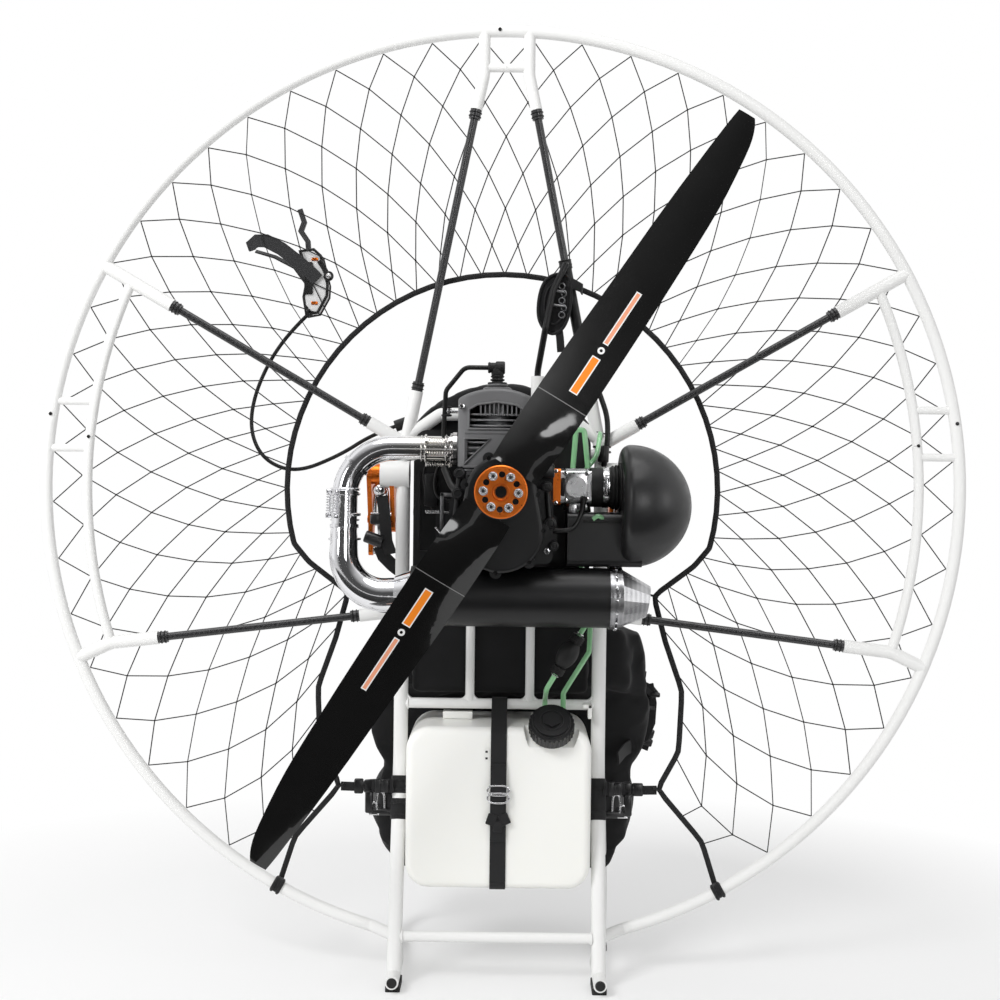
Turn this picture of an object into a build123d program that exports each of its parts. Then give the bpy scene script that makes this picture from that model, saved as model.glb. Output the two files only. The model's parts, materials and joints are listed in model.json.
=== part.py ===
from build123d import *
import math
import os

# Paramotor, millimetres. X runs to the right seen from behind, Y towards the pilot,
# Z up. The welded frame's uprights stand in the plane y = 0 while the pieces are made;
# the finished set is moved so that its middle lies over the origin, on the floor.

# Overall layout
hub_height = 745            # propeller axis above the floor
hoop_gap = 43               # from the floor to the hoop's centreline
hoop_radius = hub_height - hoop_gap
hoop_top = hub_height + hoop_radius
crank_height = hub_height - 55
hoop_tube = 18              # outside diameter
hoop_y = -20                # plane of the cage hoop
fit = 0.3                   # gap between pieces that only lie against each other

# Welded frame
upright_x = 153.5           # centreline of each upright
upright_tube = 22
engine_tube_height = crank_height + 112
upright_top = engine_tube_height + 10       # where the arch tube takes over
arch_lead = 10
arch_rise = 40
arch_shoulder = upright_top + arch_lead
arch_turn = 96              # where the arch levels off, from the middle
arch_peak = arch_shoulder + arch_rise
arch_bend = 17
knee_height = 330           # uprights lean back below this
foot_y = -86                # where each upright meets its skid
cross_tube = 16
plate_bottom = crank_height - 102
ladder_top = plate_bottom + 12
ladder_bottom = 413
low_tube_height = 72
strut_tube = 14
strut_x = 46.5
arch_tube = 20
web_corner = 11
web_thickness = 8
guide_x = 53                # socket of the starter rope's guide
guide_socket_top = arch_peak + 60
socket_tube = 20            # sockets that take the spars
stub_tube = 18              # stubs that carry the foot of the hoop
stub_lead = 14              # straight run of each stub next to the hoop

# Skids
skid_tube = 20
pad_thickness = 9           # rubber pads under the skids
skid_rear = -122
skid_front = 230
skid_flare = 26             # how far the front of each skid leans outwards
skid_bend = 55
bow_height = 345            # where the bow comes back to the upright
plug_length = 14
plug_stub = 2               # how far each plug stands out of its tube
plug_diameter = 15
skid_height = pad_thickness + skid_tube / 2
pad_places = (-84, 104)

# Cage quarters
quarter_split = 9.0         # degrees above the axis, at the sides
foot_split = 73.0           # degrees below the axis, at the foot
split_gap = 0.2
bracket_tube = 20
bridge_tube = 13
inner_arc_radius = hoop_radius + 71
inner_arc_reach = hoop_radius - 63          # inner arc's widest point from the axis
inner_arc_tube = 15
inner_arc_split = 5.6       # degrees
rung_heights = (130, 58)    # short rungs beside the side split, above the axis
rung_tube = 12
top_leg_x = 34.5
bridge_drop = 56            # the short bridge below the top of the hoop
leg_bend_drop = bridge_drop + 11

# Spars: hoop end, frame end (x, z) and the length of socket on the frame
spar_foot = upright_top + 5
spar_tube = 12
collar_tube = 17.5
collar_length = 14
spar_end_gap = 0.5          # the spar leans a little to its bracket's end face
upper_spar = ((46, hoop_top - 120), (upright_x - 3.5, spar_foot), 82)
side_spar = ((hoop_radius - 192, hub_height + 0.396 * hoop_radius), (upright_x, spar_foot), 62)
lower_spar = ((hoop_radius - 175, hub_height - 0.332 * hoop_radius), (upright_x, ladder_top - 44), 66)

# Net edge webbing
ring_radius = 335
ring_y = 7
ring_tube = 10
ring_end = 15               # degrees below the axis where the ring leaves its circle
# the leg's corners from the axis, in shares of the hoop's radius
net_leg = ((0.4274, -0.1638), (0.339, -0.2308), (0.3661, -0.3319), (0.4046, -0.4416), (0.3989, -0.5769),
           (0.3533, -0.661), (0.453, -0.7764))
clip_angle = 61             # degrees below the axis of the clips on the hoop
net_thickness = 1.6
net_step = 12.6             # degrees between the net's anchors on the hoop
net_anchors = 11            # anchors on each side
net_sweep = 22              # degrees that a cord runs round on its way in
net_last_angle = 150        # degrees from the top where the net's edge ends

# Engine
engine_y = -108             # cylinder axis
cylinder_x = -8
plate_y = -42               # front face of the engine plate
silencer_arms = (-60, 60)
plate_thickness = 6
plate_width = 268
plate_top = crank_height + 146
mount_x = 112
mount_rubber = 30
case_width = 150
case_bottom = crank_height - 49
case_top = crank_height + 78
case_rear = -160
gear_rear = -203
rib_count = 5                # stiffening ribs round the case
rib_pitch = 20
rib_depth = 6
crank_lobe = 60
prop_lobe = 50
cover_bosses = 9            # screw bosses round the gear cover's rim
cover_boss = 17
boss_step = 7
screw_hole = 6.6
starter_radius = 74
starter_front = -18
bore_block = 62             # diameter of the cylinder barrel under the fins
fin_thickness = 2.4
fin_pitch = 8
fin_count = 11
shroud_wall = 3
shroud_width = 112
shroud_depth = 100
fin_width = shroud_depth - 2 * shroud_wall - 2 * fit
shroud_top = crank_height + 203
shroud_shoulder = shroud_top - 15
head_top = shroud_top - 21
plug_height = shroud_top + 33
plug_boot = 27
window_width = 80
window_low = shroud_top - 59
window_top = shroud_top - 21
window_rise = 8

# Exhaust
port_height = crank_height + 116
pipe_x = -230
pipe_bend = 70
pipe_dip = 10               # how far the pipe's middle sits below its ends' mean
port_flange = 6
port_face = -66
end_cone = 24               # the pipe's last flare into the silencer
pipe_sections = 12          # steps in which the lower pipe grows
pipe_step = 1               # the lower pipe sleeves over the header
pipe_bands = (0.62, 0.8, 0.99)
pipe_band = 5
pipe_small = 30
pipe_middle = 37
pipe_large = 52
silencer_y = -130
silencer_height = plate_bottom + 3
silencer_diameter = 87
silencer_left = -130
silencer_right = 158
tip_ring = 19
tip_length = 38
tip_end = 46
tip_drop = 5
tip_facets = 12
outlet_bore = 26
bead = 2

# Intake
intake_height = crank_height + 62
spacer_width = 54
spacer_left = 75
spacer_thickness = 11
carburettor_length = 45
sleeve_diameter = 58
sleeve_length = 45
sleeve_ridges = 3
airbox_radius = 90
airbox_height = intake_height - 27
airbox_depth = 105

# Fuel
tank_width = 280
tank_bottom = 144
tank_top = ladder_bottom - 25
tank_rear = -72
tank_front = 88
tank_corner = 36
cap_centre = (79, -54, tank_top - 10)
cap_diameter = 66
cap_height = 20
cap_lift = 8                # neck between the tank and its cap
tank_strap_width = 24
tank_strap_thickness = 3
fuel_hose = 8
hose_loop = 84              # top of the vent loop above the carburettor's middle
hose_lead = 24              # straight run of hose at each end of the bulb

# Harness
pad_width = 276
pad_depth = 47
pad_top = arch_peak + 50
pad_shoulder = pad_top - 66
pad_bottom = ladder_bottom + 13
seat_width = 430
seat_bottom = 104
seat_top = pad_bottom + 100
seat_depth = 56
seat_reach = 188            # front of the hanging seat ahead of the back pad
# half the seat's width at each height
seat_outline = ((150, seat_bottom), (192, 150), (seat_width / 2, 225), (188, 290), (208, 340), (212, 430),
                (200, seat_top))

# Swing arms
boss_height = upright_top - 44
pivot_height = boss_height - 71
arm_x = 188
arm_thickness = 12
arm_side_gap = 8
pivot_y = 35
arm_reach = 330
arm_knee = 190              # where the arm's root meets its front run
arm_rise = 20
arm_root = 28               # half the arm's depth at its pivot
arm_half = 15               # and along its front run
bracket_plate = 7
pivot_pin = 12
hang_hole = 14
hang_holes = 4
hang_spacing = 32
boss_tube = 43

# Propeller
propeller_radius = hoop_radius - 84
blade_angle = 57
shaft_diameter = 28
flange_thickness = 10
hub_radius = 38
hub_thickness = 28
blade_seat = 4              # how far each blade starts inside the hub
hub_front = -222
hub_plate_radius = 36.5
hub_plate_thickness = 10
hub_bore = 18
hub_countersink = 25
countersink_depth = 4
bolt_circle = 48
bolt_hole = 8.7
# share of the way from the hub to the tip, width seen along the axis, thickness, leading edge ahead
# of the blade's axis, and angle to the disc
blade_stations = (
    (0, 73, 24, 37, 8), (0.1045, 77, 19, 38.5, 22), (0.1986, 78, 15, 38.5, 28), (0.3356, 76.5, 12, 37, 23.5),
    (0.5068, 72, 9.5, 33.5, 17.5), (0.661, 67.5, 7.5, 31, 14), (0.798, 60, 6, 27.5, 12),
    (0.9007, 49, 5, 24, 10.5), (0.9692, 37, 4, 21, 9.5), (1, 25, 3.5, 19, 9),
)

# Priming bulb
bulb_low = (85, -60, tank_top + 82)
bulb_high = (119, -64, tank_top + 140)
bulb_diameter = 31
bulb_neck = 19

# Starter pull: the pouch seen from behind (x, height above the axis), and its depth
pouch_outline = ((50, 273), (56, 315), (74, 333), (100, 331), (104, 295), (96, 253), (76, 237), (58, 249))
pouch_y = (-24, -8)
guide_tube = 10
clip_length = 22            # holds the cable's end on the arch's socket
clip_diameter = 18

# Throttle: the grip and its lever seen from behind (x, height above the axis)
grip_outline = ((-319, 368), (-297, 371), (-286, 361), (-275, 317), (-276, 299), (-290, 273), (-308, 269),
                (-312, 297), (-307, 324))
grip_y = (6, 34)
grip_middle = 20
lever_points = ((-306, 359), (-308, 385), (-319, 401), (-314, 415), (-321, 435))

# Throttle cable: a free cable from the grip to the frame
cable_diameter = 6
throttle_drop = ((-301, 20, 277), (-344, 20, 237), (-386, 20, 160), (-398, 20, 93), (-376, 20, 43),
                 (-324, 20, 23), (-254, 19, 52), (-206, 18, 84), (-168, 17, 98))
throttle_route = [(x, y, hub_height + z) for x, y, z in throttle_drop]


def rod(start, end, diameter):
    """A straight round bar between two points."""
    start, end = Vector(*start), Vector(*end)
    span = end - start
    return Solid.make_cylinder(diameter / 2, span.length, Plane(origin=start, z_dir=span))


def tube_along(path, diameter):
    """A round bar along a smooth path."""
    section = Plane(origin=path @ 0, z_dir=path % 0) * Circle(diameter / 2)
    return sweep(section, path=path)


def bent(points, diameter, bend):
    """A round bar along straight runs joined by bends of one radius."""
    return tube_along(FilletPolyline(*points, radius=bend), diameter)


def hoop_point(angle, radius=hoop_radius, y=hoop_y, centre=0):
    """A point on a circle about the propeller axis, or beside it."""
    turn = math.radians(angle)
    return (centre + radius * math.cos(turn), y, hub_height + radius * math.sin(turn))


def arc_tube(start, end, diameter, radius=hoop_radius, y=hoop_y, centre=0):
    """A round bar on a circle in a plane across the propeller axis."""
    points = [hoop_point(a, radius, y, centre) for a in (start, (start + end) / 2, end)]
    return tube_along(ThreePointArc(*points), diameter)


def rounded_box(x, y, z, radius, edges=None):
    """A box given by its low and high faces, with rounded edges."""
    box = Pos((x[0] + x[1]) / 2, (y[0] + y[1]) / 2, (z[0] + z[1]) / 2) * Box(
        x[1] - x[0], y[1] - y[0], z[1] - z[0])
    chosen = box.edges() if edges is None else box.edges().filter_by(edges)
    return fillet(chosen, radius)


def mirrored(shape):
    return mirror(shape, about=Plane.YZ)


def sided(shape, side):
    """Pieces are drawn on the right and mirrored for the left."""
    return shape if side > 0 else mirrored(shape)


# Welded frame

def upright_path():
    return FilletPolyline((upright_x, 0, upright_top), (upright_x, 0, knee_height),
                          (upright_x, foot_y, skid_height), radius=120)


def skid_path():
    out = upright_x + skid_flare
    return FilletPolyline((upright_x, skid_rear, skid_height), (upright_x, foot_y + 60, skid_height),
                          (out, skid_front, skid_height), (upright_x, 0, bow_height), radius=skid_bend)


def spar_ends(spar):
    """The bare spar runs from its hoop end to the mouth of its socket."""
    (hx, hz), (fx, fz), socket = spar
    hoop_end, frame_end = Vector(hx, hoop_y, hz), Vector(fx, 0, fz)
    along = (hoop_end - frame_end).normalized()
    return hoop_end, frame_end + along * socket, frame_end


def socket(spar):
    hoop_end, mouth, frame_end = spar_ends(spar)
    return rod(frame_end, mouth, socket_tube)


def lean_y(height):
    """The uprights' middle line below the knee."""
    return foot_y * (knee_height - height) / (knee_height - skid_height)


def hoop_stub():
    """Carries the foot of one hoop quarter on its upright."""
    turn = math.radians(foot_split)
    start = Vector(*hoop_point(-foot_split))
    ahead = start + Vector(-math.sin(turn), 0, -math.cos(turn)) * stub_lead
    return bent([start, ahead, (upright_x, lean_y(low_tube_height), low_tube_height)], stub_tube, 14)


def largest(shape):
    """Drops the offcuts that a coped tube end leaves."""
    return shape.solids().sort_by(SortBy.VOLUME)[-1]


def post():
    """The straight part of an upright, for coping what meets it."""
    return rod((upright_x, 0, knee_height - 60), (upright_x, 0, upright_top), upright_tube)


def upright():
    tube = tube_along(upright_path(), upright_tube)
    skid_run = rod((upright_x, skid_rear, skid_height), (upright_x, foot_y + 60, skid_height), skid_tube)
    boss = rod((upright_x - 10, 0, boss_height), (upright_x + 35, 0, boss_height), boss_tube)
    tube = tube + boss + socket(lower_spar) + hoop_stub()
    return largest(tube - skid_run - frame_arch())


def skid():
    return largest(tube_along(skid_path(), skid_tube) - post() - skid_plug())


def skid_plug():
    """A stopper in the skid's rear end."""
    end = skid_rear - plug_stub
    stopper = rod((upright_x, end, skid_height), (upright_x, end + plug_length, skid_height), plug_diameter)
    return chamfer(stopper.edges().sort_by(Axis.Y)[0], 1)


def skid_x(y):
    """The skid runs straight from the rear and leans outwards from here on."""
    lean_start = foot_y + 60
    return upright_x + skid_flare * max(0, y - lean_start) / (skid_front - lean_start)


def skid_pad(y):
    x = skid_x(y)
    return rounded_box((x - 11, x + 11), (y - 24, y + 24), (0, pad_thickness), 3, Axis.Z)


def frame_arch():
    """The arch over the uprights, with the sockets that it carries."""
    path = FilletPolyline((-upright_x, 0, upright_top), (-upright_x, 0, arch_shoulder),
                          (-arch_turn, 0, arch_peak), (arch_turn, 0, arch_peak),
                          (upright_x, 0, arch_shoulder), (upright_x, 0, upright_top), radius=arch_bend)
    side = socket(upper_spar) + socket(side_spar)
    guide = rod((guide_x, 0, arch_peak), (guide_x, 0, guide_socket_top), socket_tube)
    arch = tube_along(path, arch_tube) + side + mirrored(side) + guide
    return largest(arch - post() - mirrored(post()))


def cross_bar(z, y=0, diameter=cross_tube):
    return rod((-upright_x, y, z), (upright_x, y, z), diameter)


def between_uprights(shape):
    return largest(shape - post() - mirrored(post()))


def back_ladder():
    """Two rails and two struts, with webs that round the corners between them."""
    rails = cross_bar(ladder_bottom) + cross_bar(ladder_top)
    middle = (ladder_bottom + ladder_top) / 2
    height = ladder_top - ladder_bottom
    web = Pos(0, middle) * Rectangle(2 * upright_x, height + cross_tube - 2)
    openings = Sketch()
    spaces = ((-upright_x + upright_tube / 2, -strut_x - strut_tube / 2),
              (-strut_x + strut_tube / 2, strut_x - strut_tube / 2),
              (strut_x + strut_tube / 2, upright_x - upright_tube / 2))
    for left, right in spaces:
        openings += Pos((left + right) / 2, middle) * RectangleRounded(
            right - left + 2, height - cross_tube + 2, web_corner)
    for x in (-strut_x, strut_x):
        rails = rails + rod((x, 0, ladder_bottom), (x, 0, ladder_top), strut_tube)
    plate = extrude(Plane.XZ * (web - openings), amount=web_thickness / 2, both=True)
    return between_uprights(rails + plate)


def low_cross_tube():
    bar = cross_bar(low_tube_height, lean_y(low_tube_height))
    lean = tube_along(upright_path(), upright_tube)
    return largest(bar - lean - mirrored(lean))


# Cage

def inner_arc(start, end):
    return arc_tube(start, end, inner_arc_tube, inner_arc_radius, centre=inner_arc_reach - inner_arc_radius)


def arc_meeting(start, along):
    """The angle on the inner arc where a bracket running outwards meets it."""
    centre = Vector(inner_arc_reach - inner_arc_radius, 0, hub_height)
    from_centre = Vector(start.X, 0, start.Z) - centre
    forward = from_centre.dot(along)
    reach = math.sqrt(forward ** 2 + inner_arc_radius ** 2 - from_centre.length ** 2) - forward
    met = from_centre + along * reach
    return math.degrees(math.atan2(met.Z, met.X))


def rung(height):
    """A short bar between the inner arc and the hoop."""
    outer = math.sqrt(hoop_radius ** 2 - height ** 2)
    inner = inner_arc_reach - inner_arc_radius + math.sqrt(inner_arc_radius ** 2 - height ** 2)
    z = hub_height + height
    return rod((inner, hoop_y, z), (outer, hoop_y, z), rung_tube)


def upper_quarter():
    half_gap = math.degrees(split_gap / hoop_radius)
    hoop = arc_tube(quarter_split + half_gap, 90 - half_gap, hoop_tube)
    side_end, mouth, frame_end = spar_ends(side_spar)
    along = Vector(side_end.X - frame_end.X, 0, side_end.Z - frame_end.Z).normalized()
    side_bar = rod(side_end, side_end + along * 120, bracket_tube)
    top_end, mouth, frame_end = spar_ends(upper_spar)
    top_z = hub_height + math.sqrt(hoop_radius ** 2 - top_leg_x ** 2)
    bend_z = hoop_top - leg_bend_drop
    leg = bent([(top_leg_x, hoop_y, top_z), (top_leg_x, hoop_y, bend_z), top_end], hoop_tube, 40)
    bridge_z = hoop_top - bridge_drop
    bridge = rod((split_gap, hoop_y, bridge_z), (top_leg_x, hoop_y, bridge_z), bridge_tube)
    arc = inner_arc(inner_arc_split + half_gap, arc_meeting(side_end, along))
    return hoop + side_bar + leg + bridge + arc + rung(rung_heights[0])


def lower_quarter():
    half_gap = math.degrees(split_gap / hoop_radius)
    hoop = arc_tube(-foot_split + half_gap, quarter_split - half_gap, hoop_tube)
    end, mouth, frame_end = spar_ends(lower_spar)
    along = Vector(end.X - frame_end.X, 0, end.Z - frame_end.Z).normalized()
    knee = end + along * 74
    bracket = bent([end, knee, hoop_point(-22.2)], bracket_tube, 40)
    arc = inner_arc(arc_meeting(end, along), inner_arc_split - half_gap)
    return hoop + bracket + arc + rung(rung_heights[1])


def spar(ends):
    hoop_end, mouth, frame_end = spar_ends(ends)
    hoop_end = hoop_end + (mouth - hoop_end).normalized() * spar_end_gap
    bar = rod(hoop_end, mouth, spar_tube)
    for start, other in ((hoop_end, mouth), (mouth, hoop_end)):
        along = (other - start).normalized()
        bar = bar + rod(start, start + along * collar_length, collar_tube)
    return bar


def net_leg_points():
    """The right leg of the net's edge, from the ring's end down to its clip on the hoop."""
    corners = [(x * hoop_radius, ring_y, hub_height + z * hoop_radius) for x, z in net_leg]
    return [hoop_point(-ring_end, ring_radius, ring_y), *corners, hoop_point(-clip_angle)]


def net_edge_point(angle):
    """Where a cord ends on the net's edge; the angle runs from the top, to the right."""
    ring_points = [hoop_point(90 - turn, ring_radius, ring_y) for turn in range(0, 91 + ring_end, 15)]
    points = [Vector(*point) for point in ring_points + net_leg_points()[1:-1]]
    lengths = [(after - before).length for before, after in zip(points, points[1:])]
    left = min(1, abs(angle) / net_last_angle) * sum(lengths)
    for before, after, length in zip(points, points[1:], lengths):
        if left <= length:
            here = before + (after - before) * (left / length)
            return Vector(math.copysign(here.X, angle), here.Y, here.Z)
        left -= length
    return Vector(math.copysign(points[-1].X, angle), points[-1].Y, points[-1].Z)


def net_cord(angle, sweep):
    """A straight cord from the front of the hoop to the net's edge, some way round."""
    start = Vector(*hoop_point(90 - angle, y=hoop_y + hoop_tube / 2 + net_thickness / 2))
    end = net_edge_point(angle + sweep)
    across = Plane(origin=start, x_dir=(0, 1, 0), z_dir=end - start)
    section = across * Rectangle(net_thickness, net_thickness)
    return extrude(section, amount=(end - start).length).solid()


def net_edge():
    """The net's webbing edge with the net itself, at twice the real mesh."""
    ring = arc_tube(-ring_end, 180 + ring_end, ring_tube, ring_radius, ring_y)
    leg_points = net_leg_points()
    clip = Vector(*leg_points[-1])
    leg = bent(leg_points, ring_tube, 12)
    turn = math.radians(clip_angle)
    tangent = Vector(math.sin(turn), 0, math.cos(turn))
    around = rod(clip - tangent * 8, clip + tangent * 8, hoop_tube + 6)
    hoop = arc_tube(-foot_split, -50, hoop_tube + 2 * fit)
    side = leg + Pos(*leg_points[0]) * Sphere(ring_tube / 2) + around - hoop
    edge = ring + side + mirrored(side)
    cords = []
    for index in range(-net_anchors, net_anchors):
        angle = (index + 0.5) * net_step
        cords += [net_cord(angle, sweep) for sweep in (-net_sweep, net_sweep)]
    return edge.fuse(*cords)


# Engine

def crankcase():
    half = case_width / 2
    rear, front = case_rear, plate_y - plate_thickness
    body = rounded_box((-half, half), (rear, front), (case_bottom, case_top - 30), 12, Axis.Y)
    neck = rounded_box((cylinder_x - 44, cylinder_x + 44), (engine_y - 42, engine_y + 42),
                       (case_top - 60, case_top), 8, Axis.Z)
    port = rounded_box((42, spacer_left), (engine_y - 24, engine_y + 24),
                       (crank_height - 20, intake_height + 25), 5, Axis.X)
    case = body + neck + port
    for index in range(rib_count):
        y = rear + 18 + index * rib_pitch
        rib = rounded_box((-half - rib_depth, half + rib_depth), (y, y + 4),
                          (case_bottom + 16, crank_height + 20), rib_depth - 1, Axis.Y)
        case = case + rib
    return case


def gearbox_housing():
    lobes = Pos(0, crank_height) * Circle(crank_lobe) + Pos(0, hub_height) * Circle(prop_lobe)
    outline = make_hull(lobes.edges())
    cover = extrude(Plane.XZ.offset(-case_rear) * outline, amount=case_rear - gear_rear)
    rim = cover.edges().group_by(Axis.Y)[0]
    cover = fillet(rim, 6)
    edge = outline.face().outer_wire()
    for index in range(cover_bosses):
        place = edge @ (index / cover_bosses)
        boss = rod((place.X, case_rear, place.Y), (place.X, gear_rear + boss_step, place.Y), cover_boss)
        screw = rod((place.X, gear_rear, place.Y), (place.X, gear_rear + boss_step + 5, place.Y), screw_hole)
        cover = cover + boss - screw
    bearing = rod((0, gear_rear - 6, hub_height), (0, gear_rear, hub_height), 52)
    bore = rod((0, gear_rear - 6, hub_height), (0, gear_rear + 20, hub_height), shaft_diameter + 2 * fit)
    return cover + bearing - bore


def output_flange():
    disc = rod((0, hub_front, hub_height), (0, hub_front + flange_thickness, hub_height), 2 * hub_radius - 6)
    shaft = rod((0, hub_front, hub_height), (0, gear_rear + 15, hub_height), shaft_diameter)
    return disc + shaft


def starter_housing():
    rear = plate_y
    drum = rod((0, rear, crank_height), (0, starter_front, crank_height), 2 * starter_radius)
    drum = fillet(drum.edges().sort_by(Axis.Y)[-1], 8)
    for turn in range(8):
        slot = Pos(0, starter_front, 0) * Box(9, 12, 30)
        slot = Pos(0, 0, crank_height) * Rot(0, turn * 45, 0) * Pos(0, 0, 45) * slot
        drum = drum - slot
    return drum


def engine_plate():
    """The plate that carries the engine, with its arms to the silencer."""
    middle = (plate_top + plate_bottom) / 2
    front, rear = plate_y, plate_y - plate_thickness
    half = plate_width / 2
    plate = rounded_box((-half, half), (rear, front), (plate_bottom, plate_top), 22, Axis.Y)
    for x in (-half + 22, half - 22):
        plate = plate - Pos(x, (rear + front) / 2, middle) * Box(24, 20, 120)
    reach = silencer_y + silencer_diameter / 2 - 8
    for x in silencer_arms:
        arm = rounded_box((x - 13, x + 13), (reach, rear), (plate_bottom, plate_bottom + 12), 2, Axis.Y)
        plate = plate + arm
    return plate - rod((-400, silencer_y, silencer_height), (400, silencer_y, silencer_height),
                       silencer_diameter + 2 * fit)


def engine_mounts():
    """Rubber bushes between the frame's cross tubes and the engine plate."""
    bushes = []
    for x in (-mount_x, mount_x):
        for z in (engine_tube_height, ladder_top):
            bush = rod((x, 0, z), (x, plate_y, z), mount_rubber)
            tube = rod((-upright_x, 0, z), (upright_x, 0, z), cross_tube)
            front = Pos(x, mount_rubber, z) * Box(2 * mount_rubber, 2 * mount_rubber, 2 * mount_rubber)
            bushes.append(bush - tube - front)
    return Compound(bushes)


def cylinder():
    """Finned barrel and head, with the exhaust port's stub to the left."""
    axis = (cylinder_x, engine_y)
    fin_base = case_top + 6
    barrel = Pos(*axis, (case_top + head_top) / 2) * Cylinder(bore_block / 2, head_top - case_top)
    half = fin_width / 2
    body = barrel
    for index in range(fin_count):
        low = fin_base + index * fin_pitch
        fin = Pos(*axis, low + fin_thickness / 2) * Box(fin_width, fin_width, fin_thickness)
        body = body + fillet(fin.edges().filter_by(Axis.Z), 14)
    port = rod((cylinder_x, engine_y, port_height), (port_face, engine_y, port_height), pipe_small + 8)
    base = Pos(*axis, case_top + 2.5) * Box(fin_width - 8, fin_width - 8, 5)
    return body + port + base


def cooling_shroud():
    """Open-bottomed cowl over the cylinder, with an arched window to the rear."""
    half, deep = shroud_width / 2, shroud_depth / 2
    low = case_top + 12
    x = (cylinder_x - half, cylinder_x + half)
    y = (engine_y - deep, engine_y + deep)
    wall = shroud_wall
    outer = rounded_box(x, y, (low, shroud_top + 1), 20, Axis.Z)
    crown = (Polyline((x[0], shroud_shoulder), (x[0], low), (x[1], low), (x[1], shroud_shoulder))
             + ThreePointArc((x[1], shroud_shoulder), (cylinder_x, shroud_top), (x[0], shroud_shoulder)))
    outer = outer & extrude(Plane.XZ.offset(-y[1]) * make_face(crown), amount=shroud_depth)
    outer = fillet(outer.faces().sort_by(Axis.Z)[-1].edges(), 6)
    inner = rounded_box((x[0] + wall, x[1] - wall), (y[0] + wall, y[1] - wall),
                        (low - 1, shroud_shoulder - wall), 20 - wall, Axis.Z)
    cowl = outer - inner
    left, right = cylinder_x - window_width / 2, cylinder_x + window_width / 2
    spring_line = window_top - window_rise
    window = (Polyline((left, spring_line), (left, window_low), (right, window_low), (right, spring_line))
              + ThreePointArc((right, spring_line), (cylinder_x, window_top), (left, spring_line)))
    cowl = cowl - Pos(0, y[0] + wall + 1, 0) * extrude(Plane.XZ * make_face(window), amount=2 * wall + 2)
    corner = Polyline((cylinder_x - 46, low + 2), (cylinder_x - 46, low + 40), (cylinder_x - 8, low + 40),
                      (cylinder_x - 46, low + 2))
    cowl = cowl - Pos(0, y[0] + wall + 1, 0) * extrude(Plane.XZ * make_face(corner), amount=2 * wall + 2)
    exhaust_hole = Pos(x[0], engine_y, port_height) * Rot(0, 90, 0) * Cylinder(pipe_small / 2 + 7, 30)
    plug_hole = Pos(cylinder_x, engine_y, shroud_top) * Cylinder(plug_boot / 2 + 2, 60)
    fan_hole = Pos(cylinder_x, y[1], low + 30) * Box(70, 20, 44)
    return largest(cowl - exhaust_hole - plug_hole - fan_hole)


def spark_plug_cap():
    foot = Pos(cylinder_x, engine_y, (head_top + shroud_top + 8) / 2) * Cylinder(
        plug_boot / 2, shroud_top + 8 - head_top)
    stem = Pos(cylinder_x, engine_y, shroud_top + 18) * Cylinder(8, 24)
    elbow = rod((cylinder_x + 10, engine_y, plug_height), (cylinder_x - 14, engine_y, plug_height), 15)
    return foot + stem + elbow


def ignition_lead():
    left = cylinder_x - 14
    end_height = plate_top - 24
    return bent([(left, engine_y, plug_height), (left - 34, engine_y, plug_height),
                 (-84, engine_y + 6, plug_height - 34), (-88, engine_y + 20, end_height),
                 (-88, plate_y - plate_thickness, end_height)], 7, 16)


# Exhaust

def exhaust_pipe():
    """From the port round to the silencer, growing along the way."""
    middle = (port_height + silencer_height) / 2 - pipe_dip
    header = FilletPolyline((port_face, engine_y, port_height), (pipe_x, engine_y, port_height),
                            (pipe_x, (engine_y + silencer_y) / 2, middle), radius=pipe_bend)
    sweep_path = FilletPolyline(header @ 1, (pipe_x, silencer_y, silencer_height),
                                (silencer_left, silencer_y, silencer_height), radius=pipe_bend - 8)
    pipe = tube_along(header, pipe_middle)
    start = pipe_middle + pipe_step
    sections = [Plane(origin=sweep_path @ t, z_dir=sweep_path % t)
                * Circle((start + (pipe_large - start) * min(1, t * 1.15)) / 2)
                for t in [index / pipe_sections for index in range(pipe_sections + 1)]]
    pipe = pipe + loft(sections)
    for t in pipe_bands:
        across = Plane(origin=header @ t, z_dir=header % t)
        pipe = pipe + across * Cylinder((pipe_middle + pipe_band) / 2, pipe_band)
    flange = rod((port_face, engine_y, port_height), (port_face - port_flange, engine_y, port_height),
                 pipe_middle + 2 * port_flange)
    mouth = Plane(origin=(silencer_left - end_cone, silencer_y, silencer_height), z_dir=(1, 0, 0))
    cone = loft([mouth * Circle(pipe_large / 2 + 1.5),
                 mouth.offset(end_cone) * Circle(silencer_diameter / 2 - port_flange)])
    return pipe + flange + cone


def silencer():
    return rod((silencer_left, silencer_y, silencer_height), (silencer_right, silencer_y, silencer_height),
               silencer_diameter)


def silencer_tip():
    """A beaded ring, then a faceted cone that drops a little towards its outlet."""
    ring_end = silencer_right + tip_ring
    axis = (silencer_y, silencer_height)
    ring = rod((silencer_right, *axis), (ring_end, *axis), silencer_diameter - 2)
    for share in (0, 0.55):
        x = silencer_right + share * tip_ring
        ring = ring + rod((x, *axis), (x + 0.4 * tip_ring, *axis), silencer_diameter + 2 * bead)
    end_at = (ring_end + tip_length, silencer_y, silencer_height - tip_drop)
    base = Plane(origin=(ring_end, *axis), x_dir=(0, 1, 0), z_dir=(1, 0, 0))
    end = Plane(origin=end_at, x_dir=(0, 1, 0), z_dir=(1, 0, -0.15))
    cone = loft([base * RegularPolygon(silencer_diameter / 2 - 2, tip_facets),
                 end * RegularPolygon(tip_end / 2, tip_facets)])
    return ring + cone - end * Cylinder(outlet_bore / 2, tip_length)


# Intake

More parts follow.
